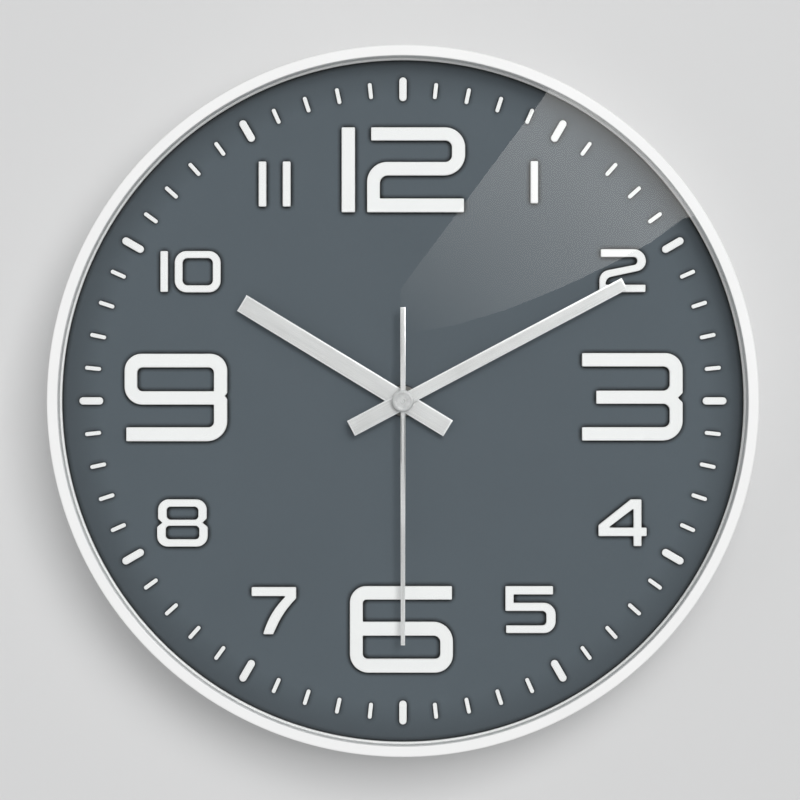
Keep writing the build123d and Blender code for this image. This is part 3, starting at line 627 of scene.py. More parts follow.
def shaded(tree, value, colour, spread):
    """A colour made a little darker and lighter by a value from 0 to 1."""
    dark = [part * (1 - spread) for part in colour]
    light = [min(part * (1 + spread), 1.0) for part in colour]
    return mixed(tree, between(tree, value, 0.0, 1.0), dark, light)


def raised(tree, shader, *layers):
    """Bump from (height, depth in metres) layers, one on the other."""
    normal = None
    for height, depth in layers:
        inputs = {"Height": height, "Distance": depth, "Strength": 1.0}
        if normal:
            inputs["Normal"] = normal
        normal = node(tree, "ShaderNodeBump", inputs).outputs[0]
    tree.links.new(normal, shader.inputs["Normal"])


def surfaced(tree, shader, colour, roughness, *layers):
    """Feed a shader its colour, its roughness and its bump layers."""
    tree.links.new(colour, shader.inputs["Base Color"])
    tree.links.new(roughness, shader.inputs["Roughness"])
    raised(tree, shader, *layers)


def let_through(tree, shader, share, tint=(1.0, 1.0, 1.0)):
    """Make a finish transparent by a share from 0 to 1."""
    clear = node(tree, "ShaderNodeBsdfTransparent", {"Color": (*tint, 1.0)})
    mix = node(
        tree, "ShaderNodeMixShader", {0: share, 1: shader.outputs[0], 2: clear.outputs[0]}
    )
    out = next(item for item in tree.nodes if item.type == "OUTPUT_MATERIAL")
    tree.links.new(mix.outputs[0], out.inputs["Surface"])


def brush_lines(tree, turn, haze_scale):
    """Fine lines along one direction, metal flakes, and the lines with a haze added."""
    stretch = (2600.0, 40.0, 40.0)
    lines = noise(tree, place_of(tree, scale=stretch, turn=turn), 1.0, 3.0, seed=6.0)
    flakes = noise(tree, place_of(tree), 3200.0, detail=1.0, seed=7.0)
    haze = noise(tree, place_of(tree), haze_scale, seed=8.0)
    return lines, flakes, maths(tree, "ADD", lines, haze)


def moulded(name, colour, roughness, grain, depth, spread=0.02, **shader_values):
    """Moulded plastic: slight flow marks in its colour and gloss, and a fine grain."""
    material, tree, shader = finish_of(name, **shader_values)
    where = place_of(tree)
    flow = noise(tree, where, 22.0, detail=2.0, seed=1.0)
    fine = noise(tree, where, grain, detail=4.0, seed=2.0)
    smudge = noise(tree, where, 9.0, detail=3.0, seed=3.0)
    toned = shaded(tree, flow, colour, spread)
    uneven = between(tree, smudge, roughness - 0.05, roughness + 0.05)
    surfaced(tree, shader, toned, uneven, (flow, 40 * MICRON), (fine, depth))
    return material


def spark_eroded(name, colour, roughness, cell, depth):
    """Plastic from a mould with a pitted, spark-eroded surface."""
    material, tree, shader = finish_of(name)
    where = place_of(tree)
    pits = node(
        tree, "ShaderNodeTexVoronoi", {"Vector": where, "Scale": cell}, feature="SMOOTH_F1"
    ).outputs["Distance"]
    fine = noise(tree, where, cell * 2.3, detail=2.0, seed=4.0)
    patch = noise(tree, where, 14.0, seed=5.0)
    toned = shaded(tree, patch, colour, 0.05)
    uneven = between(tree, fine, roughness - 0.07, roughness + 0.07)
    surfaced(tree, shader, toned, uneven, (pits, depth), (fine, depth * 0.4))
    return material


def brushed(name, colour, roughness):
    """Metal with a fine upright grain."""
    material, tree, shader = finish_of(name, Metallic=1.0)
    lines, flakes, both = brush_lines(tree, 0.0, 60.0)
    toned = shaded(tree, between(tree, lines, 0.0, 1.0), colour, 0.05)
    uneven = between(tree, both, roughness - 0.06, roughness + 0.06, 0.8, 1.2)
    surfaced(tree, shader, toned, uneven, (lines, 6 * MICRON), (flakes, 4 * MICRON))
    return material


def lathed(name, colour, roughness, centre=(0, 0, 0), radian=180 * MICRON, metallic=1.0):
    """Turned metal, with slight tarnish and fine rings round a line from front to back. A
    radian of their wave is given, so they are 2 pi times that apart."""
    wave_radians = 20.0
    material, tree, shader = finish_of(name, Metallic=metallic)
    where = place_of(tree, centre=centre)
    rings = node(
        tree,
        "ShaderNodeTexWave",
        {
            "Vector": where,
            "Scale": 1 / (wave_radians * radian),
            "Distortion": 0.6,
            "Detail": 2.0,
        },
        wave_type="RINGS",
        rings_direction="Y",
    ).outputs["Fac"]
    tarnish = noise(tree, where, 420.0, detail=4.0, seed=9.0)
    toned = shaded(tree, tarnish, colour, 0.16)
    uneven = between(tree, tarnish, roughness - 0.07, roughness + 0.1)
    surfaced(tree, shader, toned, uneven, (rings, 6 * MICRON), (tarnish, 5 * MICRON))
    return material


def satin_lacquer(name, colour, turn):
    """Silver lacquer brushed along a hand, with a painted highlight: the border where its face
    slopes is coloured near white.
    """
    material, tree, shader = finish_of(name, Metallic=0.3, **{"Coat Weight": 0.15})
    lines, flakes, both = brush_lines(tree, turn, 38.0)
    normal = node(tree, "ShaderNodeNewGeometry").outputs["True Normal"]
    facing = node(tree, "ShaderNodeSeparateXYZ", {"Vector": normal}).outputs["Y"]
    # Painted highlight: the sloping border, found by its normal, takes a near-white colour in
    # place of the face's silver.
    front = between(tree, facing, 1.0, 0.0, -0.9985, -0.994)
    face = shaded(tree, between(tree, both, 0.3, 0.7, 0.8, 1.2), colour, 0.07)
    toned = mixed(tree, front, (0.95, 0.95, 0.95), face)
    uneven = between(tree, both, 0.34, 0.46, 0.8, 1.2)
    surfaced(tree, shader, toned, uneven, (lines, 6 * MICRON), (flakes, 4 * MICRON))
    return material


def printed_slate(colour, radius):
    """The dial: a matte print with a very fine tooth. Its colour carries painted shade: it darkens
    a little towards its edge, where the ring shades it, and close in against the markers and the
    ring that stand on it, as their contact shadows."""
    material, tree, shader = finish_of("dial_slate", **{"Specular IOR Level": 0.35})
    where = place_of(tree)
    tooth = noise(tree, where, 2400.0, detail=3.0, seed=11.0)
    cloud = noise(tree, where, 16.0, detail=3.0, seed=12.0)
    parts = node(tree, "ShaderNodeSeparateXYZ", {"Vector": where}).outputs
    flat = node(tree, "ShaderNodeCombineXYZ", {"X": parts["X"], "Y": parts["Z"]}).outputs[0]
    out = node(tree, "ShaderNodeVectorMath", {0: flat}, operation="LENGTH").outputs["Value"]
    # Painted shade: the colour darkens towards the dial's edge, in place of the ring's shadow.
    rim = between(tree, out, 1.0, 0.7, radius - 0.018, radius - 0.003)
    # Painted shade: ambient occlusion darkens the colour next to the markers and the ring, as
    # contact shadow.
    crevice = node(
        tree, "ShaderNodeAmbientOcclusion", {"Distance": 0.0022}, samples=8
    ).outputs["AO"]
    painted_contact_shade = between(tree, crevice, 0.0, 1.0, 0.58, 0.97)
    # Both painted shades together take the dial's colour towards black.
    dim = maths(tree, "MULTIPLY", rim, painted_contact_shade)
    toned = mixed(tree, dim, (0.0, 0.0, 0.0), shaded(tree, cloud, colour, 0.025))
    surfaced(tree, shader, toned, between(tree, tooth, 0.62, 0.78), (tooth, 8 * MICRON))
    return material


def clear_glass():
    """Flat float glass. Shadow rays and diffuse rays pass straight through, so that the dial
    behind it is lit."""
    material, tree, shader = finish_of(
        "clear_glass",
        **{
            "Base Color": (0.995, 1.0, 0.998, 1.0),
            "Roughness": 0.0,
            "IOR": 1.48,
            "Transmission Weight": 1.0,
        },
    )
    wave = noise(tree, place_of(tree), 7.0, detail=1.0, seed=13.0)
    raised(tree, shader, (wave, 20 * MICRON))
    rays = node(tree, "ShaderNodeLightPath").outputs
    lighting = maths(tree, "MAXIMUM", rays["Is Shadow Ray"], rays["Is Diffuse Ray"])
    let_through(tree, shader, lighting, (0.99, 0.995, 0.993))
    return material


def enamelled_wire():
    """Copper wire under clear enamel."""
    material, tree, shader = finish_of(
        "enamelled_copper", Metallic=0.9, **{"Coat Weight": 0.6, "Coat Roughness": 0.12}
    )
    tint = noise(tree, place_of(tree), 900.0, detail=3.0, seed=14.0)
    toned = shaded(tree, tint, (0.60, 0.22, 0.09), 0.2)
    surfaced(tree, shader, toned, between(tree, tint, 0.22, 0.38), (tint, 6 * MICRON))
    return material


def solder_mask():
    """A green circuit board: copper tracks show as raised, lighter lines under the mask."""
    material, tree, shader = finish_of(
        "solder_mask", **{"Coat Weight": 0.35, "Coat Roughness": 0.2}
    )
    tracks = node(
        tree,
        "ShaderNodeTexBrick",
        {
            "Vector": place_of(tree, scale=(1, 0.001, 1)),
            "Scale": 300.0,
            "Mortar Size": 0.06,
            "Mortar Smooth": 0.3,
            "Brick Width": 1.7,
            "Row Height": 0.5,
        },
        offset=0.5,
    ).outputs["Fac"]
    weave = noise(tree, place_of(tree), 1500.0, detail=2.0, seed=15.0)
    toned = mixed(tree, tracks, (0.012, 0.10, 0.035), (0.05, 0.24, 0.09))
    uneven = between(tree, weave, 0.32, 0.46)
    surfaced(tree, shader, toned, uneven, (tracks, 30 * MICRON), (weave, 6 * MICRON))
    return material


def battery_sleeve(colour, split):
    """A plain two-tone printed sleeve: dark, with a warm metallic band at the positive end."""
    material, tree, shader = finish_of(
        "battery_sleeve", Metallic=0.35, **{"Coat Weight": 0.8, "Coat Roughness": 0.08}
    )
    across = node(tree, "ShaderNodeSeparateXYZ", {"Vector": place_of(tree)}).outputs["X"]
    band = between(tree, across, 0.0, 1.0, split, split + 0.00012)
    scuff = noise(tree, place_of(tree, scale=(0.25, 1, 1)), 700.0, detail=4.0, seed=16.0)
    dark = shaded(tree, scuff, colour, 0.12)
    warm = shaded(tree, scuff, (0.52, 0.30, 0.11), 0.1)
    toned = mixed(tree, band, dark, warm)
    uneven = between(tree, scuff, 0.24, 0.36)
    surfaced(tree, shader, toned, uneven, (scuff, 8 * MICRON), (band, 10 * MICRON))
    return material


# ---------------------------------------------------------------- pieces


class CLOCK_OT_stage(bpy.types.Operator):
    """Build the wall, the lights and the camera"""

    bl_idname = "clock.stage"
    bl_label = "Wall, lights and camera"
    bl_options = {"REGISTER", "UNDO"}

    def execute(self, context):
        settings = context.scene.clock_stage
        front = -span("front_ring")[1] * MM
        aside, up = -1.24 * MM, 0.4 * MM
        self.wall(context, settings.wall)
        key = self.light(context, "key_light", (1.0, -4.26, 1.16), 2.6, settings.key_power)
        fill = self.light(context, "fill_light", (-1.5, -1.5, -0.7), 1.4, settings.fill_power)
        for lamp in (key, fill):
            lamp.visible_glossy = False
            lamp.visible_transmission = False
        shine_power = settings.shine_power
        shine = self.light(context, "shine_light", (0.75, -1.9, 0.85), 0.6, shine_power)
        shine.visible_diffuse = False
        self.light(context, "rear_light", (0.9, 1.5, 1.1), 1.0, settings.rear_power)
        self.light(context, "rear_fill", (-1.2, 1.4, -0.4), 1.4, settings.rear_power * 0.6)
        self.card(context, front, settings.distance)
        self.air(context, settings.air)
        lens = bpy.data.cameras.new("camera")
        lens.sensor_width = 36.0
        lens.lens = lens.sensor_width * settings.distance / settings.view_width
        camera = bpy.data.objects.new("camera", lens)
        camera.location = (aside, front - settings.distance, up)
        camera.rotation_euler = (math.radians(90), 0.0, 0.0)
        context.scene.collection.objects.link(camera)
        context.scene.camera = camera
        context.scene.view_settings.view_transform = "Standard"
        return {"FINISHED"}

    def wall(self, context, colour):
        """A plain wall behind the clock. It is seen from the front only, so that the rear of
        the clock can be looked at through it."""
        side, gap = 3.0, 0.3 * MM
        mesh = bpy.data.meshes.new("wall")
        mesh.from_pydata(
            [(-side, 0, -side), (side, 0, -side), (side, 0, side), (-side, 0, side)],
            [],
            [(0, 1, 2, 3)],
        )
        mesh.transform(Matrix.Translation((0, gap, 0)))
        material, tree, shader = finish_of("wall_paint")
        where = place_of(tree)
        roll = noise(tree, where, 260.0, detail=4.0, seed=21.0)
        patch = noise(tree, where, 2.0, detail=2.0, seed=22.0)
        toned = shaded(tree, patch, colour, 0.012)
        surfaced(tree, shader, toned, between(tree, roll, 0.82, 0.92), (roll, 20 * MICRON))
        let_through(tree, shader, node(tree, "ShaderNodeNewGeometry").outputs["Backfacing"])
        mesh.materials.append(material)
        wall = bpy.data.objects.new("wall", mesh)
        wall.visible_shadow = False
        context.scene.collection.objects.link(wall)

    def air(self, context, strength):
        """Even light from all round, dimmer in reflections and through the glass."""
        world = bpy.data.worlds.new("studio_air")
        world.use_nodes = True
        tree = world.node_tree
        tree.nodes.clear()
        rays = node(tree, "ShaderNodeLightPath").outputs
        gloss = maths(tree, "MAXIMUM", rays["Is Glossy Ray"], rays["Is Transmission Ray"])
        level = between(tree, gloss, strength, strength * 0.3, 0.0, 1.0)
        sky = node(
            tree, "ShaderNodeBackground", {"Color": (0.93, 0.94, 0.95, 1.0), "Strength": level}
        )
        node(tree, "ShaderNodeOutputWorld", {"Surface": sky.outputs[0]})
        context.scene.world = world

    def light(self, context, name, place, size, power):
        """A square soft light that faces the clock."""
        lamp = bpy.data.lights.new(name, "AREA")
        lamp.shape = "SQUARE"
        lamp.size = size
        lamp.energy = power
        holder = bpy.data.objects.new(name, lamp)
        holder.location = place
        holder.rotation_euler = (-Vector(place)).to_track_quat("-Z", "Y").to_euler()
        context.scene.collection.objects.link(holder)
        return holder

    def card(self, context, front, distance):
        """A bright panel as far off as the camera, which shows only in reflections. The
        glass mirrors it at half its size, so its outline is given as it lies on the dial."""
        # The straight sides, clockwise, and then the curved lower edge back to the start.
        edge = [(-0.4, 47.0), (60.8, 129.1), (84.0, 170.0), (180.0, 170.0), (180.0, 92.0)]
        edge += [(118.6, 76.6), (105.0, 66.6), (90.9, 58.8), (68.0, 47.8), (44.9, 38.5)]
        edge += [(22.0, 31.6), (-0.4, 27.9)]
        spread = 2.0 * MM
        slant, brightest = (0.64, 0.0, 0.77), 3.2
        mesh = bpy.data.meshes.new("window_card")
        mesh.from_pydata(
            [(x * spread, front - distance, z * spread) for x, z in edge],
            [],
            [tuple(range(len(edge)))],
        )
        material = bpy.data.materials.new("window_glow")
        material.use_nodes = True
        tree = material.node_tree
        tree.nodes.clear()
        where = node(tree, "ShaderNodeTexCoord").outputs["Object"]
        along = node(
            tree,
            "ShaderNodeVectorMath",
            {0: where, 1: slant},
            operation="DOT_PRODUCT",
        ).outputs["Value"]
        glow = node(
            tree,
            "ShaderNodeEmission",
            {
                "Color": (1.0, 0.99, 0.96, 1.0),
                "Strength": between(tree, along, 0.0, brightest, 0.04, 0.241),
            },
        )
        node(tree, "ShaderNodeOutputMaterial", {"Surface": glow.outputs[0]})
        mesh.materials.append(material)
        card = bpy.data.objects.new("window_card", mesh)
        for way in ("camera", "diffuse", "transmission", "volume_scatter", "shadow"):
            setattr(card, "visible_" + way, False)
        context.scene.collection.objects.link(card)


class CLOCK_OT_front_ring(bpy.types.Operator):
    """Build the front ring and the spacer ring behind the glass"""

    bl_idname = "clock.front_ring"
    bl_label = "Front ring and spacer"
    bl_options = {"REGISTER", "UNDO"}

    def execute(self, context):
        settings = context.scene.clock_case
        white = moulded("case_white", settings.white, 0.34, 1400.0, 6 * MICRON)
        outer = settings.radius / MM
        inner = outer - settings.lip / MM
        edge = settings.edge / MM
        back, front = span("front_ring")
        seat = span("front_glass")[1]
        skirt = reach("front_glass") + 0.5
        ring = turned(
            [
                (outer, back, 0.2),
                (outer, front, edge),
                (inner, front, edge * 0.75),
                (inner, seat, 0.1),
                (skirt, seat, 0.15),
                (skirt, back + 2.3, 0.15),
                (skirt - 0.5, back + 1.8, 0.12),
                (skirt - 0.5, back + 1.4, 0.12),
                (skirt, back + 0.9, 0.15),
                (skirt, back, 0.1),
            ],
            white,
            settings.segments,
        )
        keep("front_ring_moulding", stood(ring), "case", "white_case", "front_ring")
        low, high = span("spacer_ring")
        spacer_outer = reach("spacer_ring")
        spacer = turned(
            [
                (inner, high, 0.15),
                (spacer_outer, high, 0.15),
                (spacer_outer, low, 0.1),
                (inner - 0.8, low, 0.1),
                (inner - 0.8, low + 1.5, 0.35),
                (inner, low + 1.5, 0.12),
            ],
            white,
            settings.segments,
        )
        keep("spacer_moulding", stood(spacer), "case", "white_case", "spacer_ring")
        return {"FINISHED"}


class CLOCK_OT_case_body(bpy.types.Operator):
    """Build the case body: its side wall, web, screw bosses and gussets"""

    bl_idname = "clock.case_body"
    bl_label = "Case body"
    bl_options = {"REGISTER", "UNDO"}

    def execute(self, context):
        settings = context.scene.clock_case
        white = moulded("body_white", settings.white, 0.38, 1100.0, 10 * MICRON)
        outer = settings.radius / MM
        web, parting = span("case_body")[1], 24.0
        web_back, ledge_front, ledge_back = web - 2.0, 7.6, 6.0
        shell = turned(
            [
                (outer - 24.0, web, 0.2),
                (outer - 24.0, web_back, 0.2),
                (outer - 4.6, web_back, 0.5),
                (outer - 4.6, web_back - 4.0, 0.5),
                (outer - 3.0, web_back - 6.0, 0.5),
                (outer - 3.0, ledge_front, 0.3),
                (outer - 6.4, ledge_front, 0.2),
                (outer - 6.4, ledge_back, 0.2),
                (outer - 3.2, ledge_back, 0.1),
                (outer - 3.2, 0.0, 0.4),
                (outer - 1.4, 0.0, 0.6),
                (outer, parting, 0.15),
                (outer - 2.4, parting, 0.1),
                (outer - 2.4, parting + 0.9, 0.1),
                (outer - 2.9, parting + 1.4, 0.1),
                (outer - 2.9, parting + 2.2, 0.1),
                (outer - 2.4, parting + 2.7, 0.1),
                (outer - 2.4, web, 0.2),
            ],
            white,
            settings.segments,
        )
        boss = turned(
            [
                (1.35, ledge_back, 0.25),
                (3.75, ledge_back, 0.25),
                (3.75, web_back + 0.1, 0.0),
                (1.35, web_back + 0.1, 0.0),
            ],
            white,
            32,
        )
        bosses = ringed(boss, white, 6, SCREW_CIRCLE, 0.0, 60.0)
        gusset = flat_shape([rounded_bar(18.0, 1.6, 0.2, 2)], 12.0, web_back + 0.1, 0.15)
        gussets = ringed(gusset, white, 6, SCREW_CIRCLE, 30.0, 60.0)
        whole = stood(joined(shell, bosses, gussets))
        keep("case_body_moulding", whole, "case", "white_case", "case_body")
        return {"FINISHED"}


class CLOCK_OT_glass(bpy.types.Operator):
    """Build the front glass"""

    bl_idname = "clock.glass"
    bl_label = "Front glass"
    bl_options = {"REGISTER", "UNDO"}

    def execute(self, context):
        low, high = span("front_glass")
        outer = reach("front_glass")
        pane = turned(
            [(0.0, low, 0.0), (outer, low, 0.3), (outer, high, 0.3), (0.0, high, 0.0)],
            clear_glass(),
            context.scene.clock_case.segments,
            closed=False,
        )
        keep("glass_pane", stood(pane), "case", "clear_glass", "front_glass")
        return {"FINISHED"}


class CLOCK_OT_dial(bpy.types.Operator):
    """Build the dial plate"""

    bl_idname = "clock.dial"
    bl_label = "Dial plate"
    bl_options = {"REGISTER", "UNDO"}

    def execute(self, context):
        low, high = span("dial_plate")
        outer, hole = reach("dial_plate"), 4.1
        plate = turned(
            [(hole, low, 0.05), (outer, low, 0.1), (outer, high, 0.1), (hole, high, 0.05)],
            printed_slate(context.scene.clock_dial.slate, outer * MM),
            context.scene.clock_case.segments,
        )
        keep("dial_disc", stood(plate), "case", "dial_grey", "dial_plate")
        return {"FINISHED"}


class CLOCK_OT_numerals(bpy.types.Operator):
    """Finish the twelve raised numerals"""

    bl_idname = "clock.numerals"
    bl_label = "Numerals"
    bl_options = {"REGISTER", "UNDO"}

    def execute(self, context):
        colour = context.scene.clock_dial.white
        white = moulded("numeral_white", colour, 0.30, 1700.0, 5 * MICRON, 0.012)
        dress(white, *[f"numeral_{hour}" for hour in range(1, 13)])
        return {"FINISHED"}


class CLOCK_OT_markers(bpy.types.Operator):
    """Build the twelve hour markers and the forty-eight minute markers"""

    bl_idname = "clock.markers"
    bl_label = "Hour and minute markers"
    bl_options = {"REGISTER", "UNDO"}

    def execute(self, context):
        settings = context.scene.clock_dial
        circle = settings.circle / MM
        white = moulded("marker_white", settings.white, 0.28, 1900.0, 5 * MICRON, 0.012)
        low, high = span("hour_markers")
        length, width = settings.hour_length / MM, settings.hour_width / MM
        bar = flat_shape([rounded_bar(length, width, width / 2, 8)], low, high, 0.4, 3)
        hours = ringed(bar, white, 12, circle, 0.0, 30.0)
        keep("hour_marker_set", stood(hours), "case", "dial_white", "hour_markers")
        low, high = span("minute_markers")
        length, width = settings.minute_length / MM, settings.minute_width / MM
        tick = flat_shape([rounded_bar(length, width, 0.8, 5)], low, high, 0.22, 2)
        four = ringed(tick, white, 4, circle, 6.0, 6.0)
        minutes = ringed(four, white, 12, 0.0, 0.0, 30.0)
        keep("minute_marker_set", stood(minutes), "case", "dial_white", "minute_markers")
        return {"FINISHED"}


class CLOCK_OT_hands(bpy.types.Operator):
    """Build the three hands and the centre cap, and finish the collets of the hands"""

    bl_idname = "clock.hands"
    bl_label = "Hands and cap"
    bl_options = {"REGISTER", "UNDO"}

    def execute(self, context):
        settings = context.scene.clock_hands
        border = settings.border / MM
        silver = tuple(settings.silver)
        # The right-hand side of each hand, from its tail to its tip.
        hour = [(3.95, -22.4), (3.95, 79.9)]
        minute = [(3.6, -24.9), (3.6, 0.0), (2.7, 4.6), (2.7, 106.1)]
        second = [(1.1, -39.6), (0.9, 103.3)]
        self.hand("hour_hand", "hour_drive", HOUR_TURN, 2.55, border, silver, hour)
        self.hand("minute_hand", "minute_drive", MINUTE_TURN, 1.65, border, silver, minute)
        self.hand(
            "second_hand", "second_drive", SECOND_TURN, 0.55, border * 0.6, silver, second
        )
        low, high = span("centre_cap")
        cap = turned(
            [
                (0.0, low, 0.0),
                (4.6, low, 0.15),
                (4.6, high - 0.25, 0.5),
                (3.9, high, 0.3),
                (3.3, high, 0.12),
                (3.1, high - 0.16, 0.1),
                (1.35, high - 0.16, 0.12),
                (1.15, high - 0.05, 0.08),
                (0.9, high - 0.05, 0.1),
                (0.8, high - 0.4, 0.1),
                (0.0, high - 0.4, 0.0),
            ],
            lathed("cap_silver", (0.70, 0.70, 0.70), 0.36, radian=100 * MICRON, metallic=0.3),
            96,
            closed=False,
            corner_steps=3,
        )
        keep("cap_button", stood(cap), "second_drive", "hand_silver", "centre_cap")
        dress(
            lathed("collet_silver", (0.50, 0.50, 0.50), 0.32, metallic=0.6),
            "hour_hand_collet", "minute_hand_collet", "second_hand_collet",
        )
        return {"FINISHED"}

    def hand(self, name, body, angle, bore, border, silver, side):
        """A flat bar with a sloping border, coloured brighter as a painted highlight, and a hole
        for its tube, turned to where it points at rest."""
        low, high = span(name)
        outline = side + [(-x, y) for x, y in reversed(side)]
        # The border slopes down by this much, and the face stands above it.
        crown = (high - low) * 0.15
        hole = arc((0, 0), bore, 360, 0, 32)[:-1]
        bar = flat_shape([outline, hole], low, high - crown, crown, 1)
        raise_face(bar, border, crown)
        bar.transform(Matrix.Rotation(math.radians(-angle), 4, "Z"))
        lacquer = satin_lacquer(name + "_silver", silver, -angle)
        bar.materials.append(lacquer)
        keep(name + "_bar", stood(bar), body, "hand_silver", name)


class CLOCK_OT_rear_cover(bpy.types.Operator):
    """Finish the rear cover, and build its screws and bumpers"""

    bl_idname = "clock.rear_cover"
    bl_label = "Rear cover, screws and bumpers"
    bl_options = {"REGISTER", "UNDO"}

    def execute(self, context):
        settings = context.scene.clock_case
        dress(spark_eroded("cover_grain", settings.cover, 0.55, 1500.0, 30 * MICRON), "rear_cover")
        zinc = lathed("screw_zinc", (0.55, 0.56, 0.58), 0.34, radian=200 * MICRON)
        low, high = span("rear_cover_screws")
        neck, thread_turns = low + 1.8, 11
        thread = []
        for step in range(thread_turns):
            thread += [(1.3, neck + 0.5 + step, 0.05), (1.05, neck + 1.0 + step, 0.05)]
        screw = turned(
            [
                (0.0, low, 0.0),
                (1.9, low, 1.4),
                (2.9, low + 0.9, 0.4),
                (2.9, neck, 0.1),
                (1.2, neck, 0.0),
                *thread,
                (0.0, high, 0.0),
            ],
            zinc,
            40,
            closed=False,
            corner_steps=3,
        )
        slots = [
            flat_shape([rounded_bar(length, width, 0.1, 1)], low - 0.5, low + 1.0, 0.05)
            for length, width in ((3.2, 0.7), (0.7, 3.2))
        ]
        screw = ringed(cut(screw, *slots), zinc, 6, SCREW_CIRCLE, 0.0, 60.0)
        keep("cover_screw_set", stood(screw), "case", "screw_zinc", "rear_cover_screws")
        rubber = moulded("bumper_rubber", (0.42, 0.42, 0.41), 0.75, 1300.0, 30 * MICRON, 0.05)
        low, high = span("wall_bumpers")
        bumper = turned(
            [
                (0.0, low, 0.0),
                (4.5, low, 0.9),
                (4.5, low + 3.9, 0.3),
                (1.95, low + 4.0, 0.05),
                (1.95, high - 0.8, 0.2),
                (1.5, high, 0.2),
                (0.0, high, 0.0),
            ],
            rubber,
            48,
            closed=False,
        )
        pair = ringed(bumper, rubber, 2, BUMPER_CIRCLE, 235.0, 70.0)
        keep("bumper_pair", stood(pair), "case", "bumper_foam", "wall_bumpers")
        return {"FINISHED"}


class CLOCK_OT_housing(bpy.types.Operator):
    """Finish the movement housing, and what clamps it to the dial"""

    bl_idname = "clock.housing"
    bl_label = "Movement housing"
    bl_options = {"REGISTER", "UNDO"}

    def execute(self, context):
        settings = context.scene.clock_movement
        dress(
            spark_eroded("housing_black", settings.housing, 0.50, 2100.0, 30 * MICRON),
            "movement_front_case", "movement_rear_case",
        )
        dress(
            moulded("plate_grey", (0.38, 0.39, 0.40), 0.45, 1500.0, 10 * MICRON), "middle_plate"
        )
        dress(
            lathed("nickelled_brass", (0.36, 0.35, 0.33), 0.30, metallic=0.8),
            "threaded_bushing", "hex_nut", "brass_washer",
        )
        dress(
            moulded("washer_rubber", (0.025, 0.025, 0.025), 0.7, 1600.0, 30 * MICRON, 0.1),
            "rubber_washer",
        )
        dress(
            moulded("knob_white", (0.72, 0.72, 0.70), 0.42, 1500.0, 10 * MICRON), "setting_knob"
        )
        return {"FINISHED"}


class CLOCK_OT_wheels(bpy.types.Operator):
    """Finish the wheels, pinions and shafts of the train"""

    bl_idname = "clock.wheels"
    bl_label = "Wheel train"
    bl_options = {"REGISTER", "UNDO"}

    def execute(self, context):
        tints = {
            "hour_wheel": (0.74, 0.73, 0.68),
            "minute_wheel": (0.70, 0.70, 0.66),
            "centre_wheel": (0.76, 0.74, 0.66),
            "third_wheel": (0.72, 0.71, 0.67),
            "second_wheel": (0.75, 0.75, 0.72),
            "fifth_wheel": (0.70, 0.69, 0.62),
        }
        for name, tint in tints.items():
            acetal = moulded(
                name + "_acetal", tint, 0.36, 1800.0, 6 * MICRON, 0.03,
                **{"Subsurface Weight": 0.2, "Subsurface Scale": 0.001},
            )
            dress(acetal, name)
        dress(lathed("tube_brass", (0.66, 0.47, 0.19), 0.25), "minute_tube")
        dress(
            brushed("shaft_steel", (0.55, 0.55, 0.56), 0.26), "second_shaft", "rotor_pinion"
        )
        dress(
            moulded("rotor_ferrite", (0.05, 0.05, 0.055), 0.48, 2600.0, 10 * MICRON, 0.15),
            "rotor_magnet",
        )
        return {"FINISHED"}


class CLOCK_OT_motor(bpy.types.Operator):
    """Finish the iron and bobbin of the motor, and wind its coil"""

    bl_idname = "clock.motor"
    bl_label = "Motor coil"
    bl_options = {"REGISTER", "UNDO"}

    def execute(self, context):
        dress(brushed("motor_iron", (0.40, 0.40, 0.41), 0.40), "stator", "coil_core")
        dress(
            moulded("bobbin_white", (0.66, 0.65, 0.60), 0.42, 1700.0, 8 * MICRON), "coil_bobbin"
        )
        low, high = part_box("coil_winding")
        low, high = low / MM, high / MM
        turns = context.scene.clock_movement.coil_turns
        margin = 1.3 * (high.z - low.z) / turns
        coil = grown(
            bpy.data.meshes.new("coil"),
            tree_of(coil_tree),
            turns=turns,
            length=high.z - low.z,
            width=high.x - low.x - margin,
            depth=high.y - low.y - margin,
            corner=1.1,
            material=enamelled_wire(),
        )
        coil.transform(Matrix.Rotation(math.radians(-90), 4, "X"))
        middle = (low + high) / 2
        coil.transform(Matrix.Translation((middle.x, low.z, -middle.y)))
        keep("coil_wire", stood(coil), "case", "winding_copper", "coil_winding")
        return {"FINISHED"}


class CLOCK_OT_electronics(bpy.types.Operator):
    """Finish the circuit board, its parts and the battery contacts"""

    bl_idname = "clock.electronics"
    bl_label = "Circuit and contacts"
    bl_options = {"REGISTER", "UNDO"}

    def execute(self, context):
        dress(solder_mask(), "circuit_board")
        dress(
            moulded("chip_epoxy", (0.018, 0.018, 0.018), 0.28, 900.0, 30 * MICRON, 0.1),
            "control_chip",
        )
        dress(brushed("crystal_can", (0.60, 0.60, 0.61), 0.28), "quartz_crystal")
        dress(
            brushed("contact_nickel", (0.58, 0.57, 0.54), 0.30),
            "positive_contact", "negative_contact",
        )
        return {"FINISHED"}


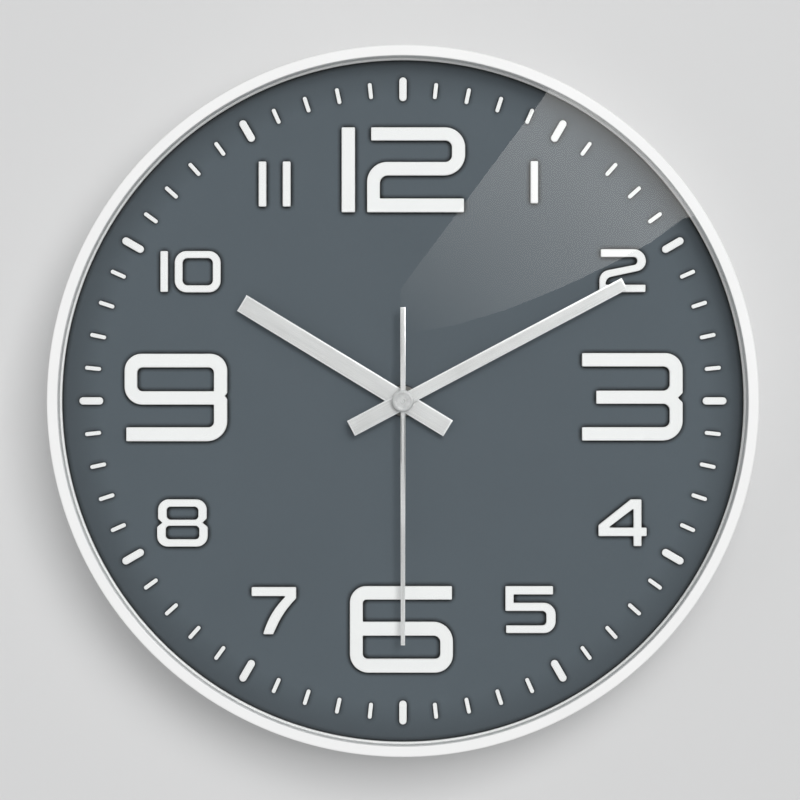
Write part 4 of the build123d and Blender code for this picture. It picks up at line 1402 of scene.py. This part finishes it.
class CLOCK_OT_battery(bpy.types.Operator):
    """Build the battery"""

    bl_idname = "clock.battery"
    bl_label = "Battery"
    bl_options = {"REGISTER", "UNDO"}

    def execute(self, context):
        low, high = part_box("battery_can")
        low, high = low / MM, high / MM
        radius, band = (high.z - low.z) / 2, 13.0
        sleeve = battery_sleeve(context.scene.clock_movement.sleeve, (high.x - band) * MM)
        can = turned(
            [
                (0.0, low.x, 0.0),
                (4.6, low.x, 0.1),
                (4.9, low.x + 0.25, 0.1),
                (6.3, low.x + 0.25, 0.2),
                (6.6, low.x, 0.2),
                (radius, low.x + 0.5, 0.4),
                (radius, high.x - 0.9, 0.5),
                (radius - 0.8, high.x - 0.3, 0.2),
                (radius - 1.3, high.x - 0.5, 0.1),
                (radius - 1.6, high.x, 0.2),
                (0.0, high.x, 0.0),
            ],
            sleeve,
            96,
            closed=False,
            corner_steps=4,
        )
        self.lay("battery_cell", can, low, high, "battery_sleeve", "battery_can")
        tip_low, tip_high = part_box("battery_cap")
        tip_low, tip_high = tip_low / MM, tip_high / MM
        tip_radius = (tip_high.z - tip_low.z) / 2
        tip_centre = (0.0, -18.6 * MM, -19.0 * MM)
        tip = turned(
            [
                (0.0, tip_low.x, 0.0),
                (tip_radius, tip_low.x, 0.05),
                (tip_radius, tip_high.x, 0.45),
                (0.0, tip_high.x, 0.0),
            ],
            lathed("battery_steel", (0.60, 0.60, 0.60), 0.24, tip_centre),
            64,
            closed=False,
        )
        self.lay("battery_tip", tip, low, high, "battery_metal", "battery_cap")
        return {"FINISHED"}

    def lay(self, name, mesh, low, high, slot, replaced):
        """Lay a piece turned about Z along X, on the axis of the battery."""
        mesh.transform(Matrix.Rotation(math.radians(90), 4, "Y"))
        place = (0.0, (low.z + high.z) / 2, -(low.y + high.y) / 2)
        mesh.transform(Matrix.Translation(place))
        keep(name, stood(mesh), "battery", slot, replaced)


# ---------------------------------------------------------------- panel and main

SETTINGS = {
    "clock_case": ClockCaseSettings,
    "clock_dial": ClockDialSettings,
    "clock_hands": ClockHandSettings,
    "clock_movement": ClockMovementSettings,
    "clock_stage": ClockStageSettings,
}
OPERATORS = (
    CLOCK_OT_stage,
    CLOCK_OT_front_ring,
    CLOCK_OT_case_body,
    CLOCK_OT_glass,
    CLOCK_OT_dial,
    CLOCK_OT_numerals,
    CLOCK_OT_markers,
    CLOCK_OT_hands,
    CLOCK_OT_rear_cover,
    CLOCK_OT_housing,
    CLOCK_OT_wheels,
    CLOCK_OT_motor,
    CLOCK_OT_electronics,
    CLOCK_OT_battery,
)


class CLOCK_PT_panel(bpy.types.Panel):
    """The clock's settings, and a button for each piece."""

    bl_label = "Wall Clock"
    bl_idname = "CLOCK_PT_panel"
    bl_space_type = "VIEW_3D"
    bl_region_type = "UI"
    bl_category = "Wall Clock"

    def draw(self, context):
        for name, group in SETTINGS.items():
            box = self.layout.box()
            box.label(text=group.bl_rna.description or name)
            for key in group.__annotations__:
                box.prop(getattr(context.scene, name), key)
        for operator in OPERATORS:
            self.layout.operator(operator.bl_idname)


def register():
    for group in SETTINGS.values():
        bpy.utils.register_class(group)
    for name, group in SETTINGS.items():
        setattr(bpy.types.Scene, name, PointerProperty(type=group))
    for item in (*OPERATORS, CLOCK_PT_panel):
        bpy.utils.register_class(item)


def unregister():
    for item in (CLOCK_PT_panel, *reversed(OPERATORS)):
        bpy.utils.unregister_class(item)
    for name in SETTINGS:
        delattr(bpy.types.Scene, name)
    for group in SETTINGS.values():
        bpy.utils.unregister_class(group)


def main():
    """Build the whole clock."""
    register()
    for operator in OPERATORS:
        group, name = operator.bl_idname.split(".")
        getattr(getattr(bpy.ops, group), name)()


if __name__ == "__main__":
    main()
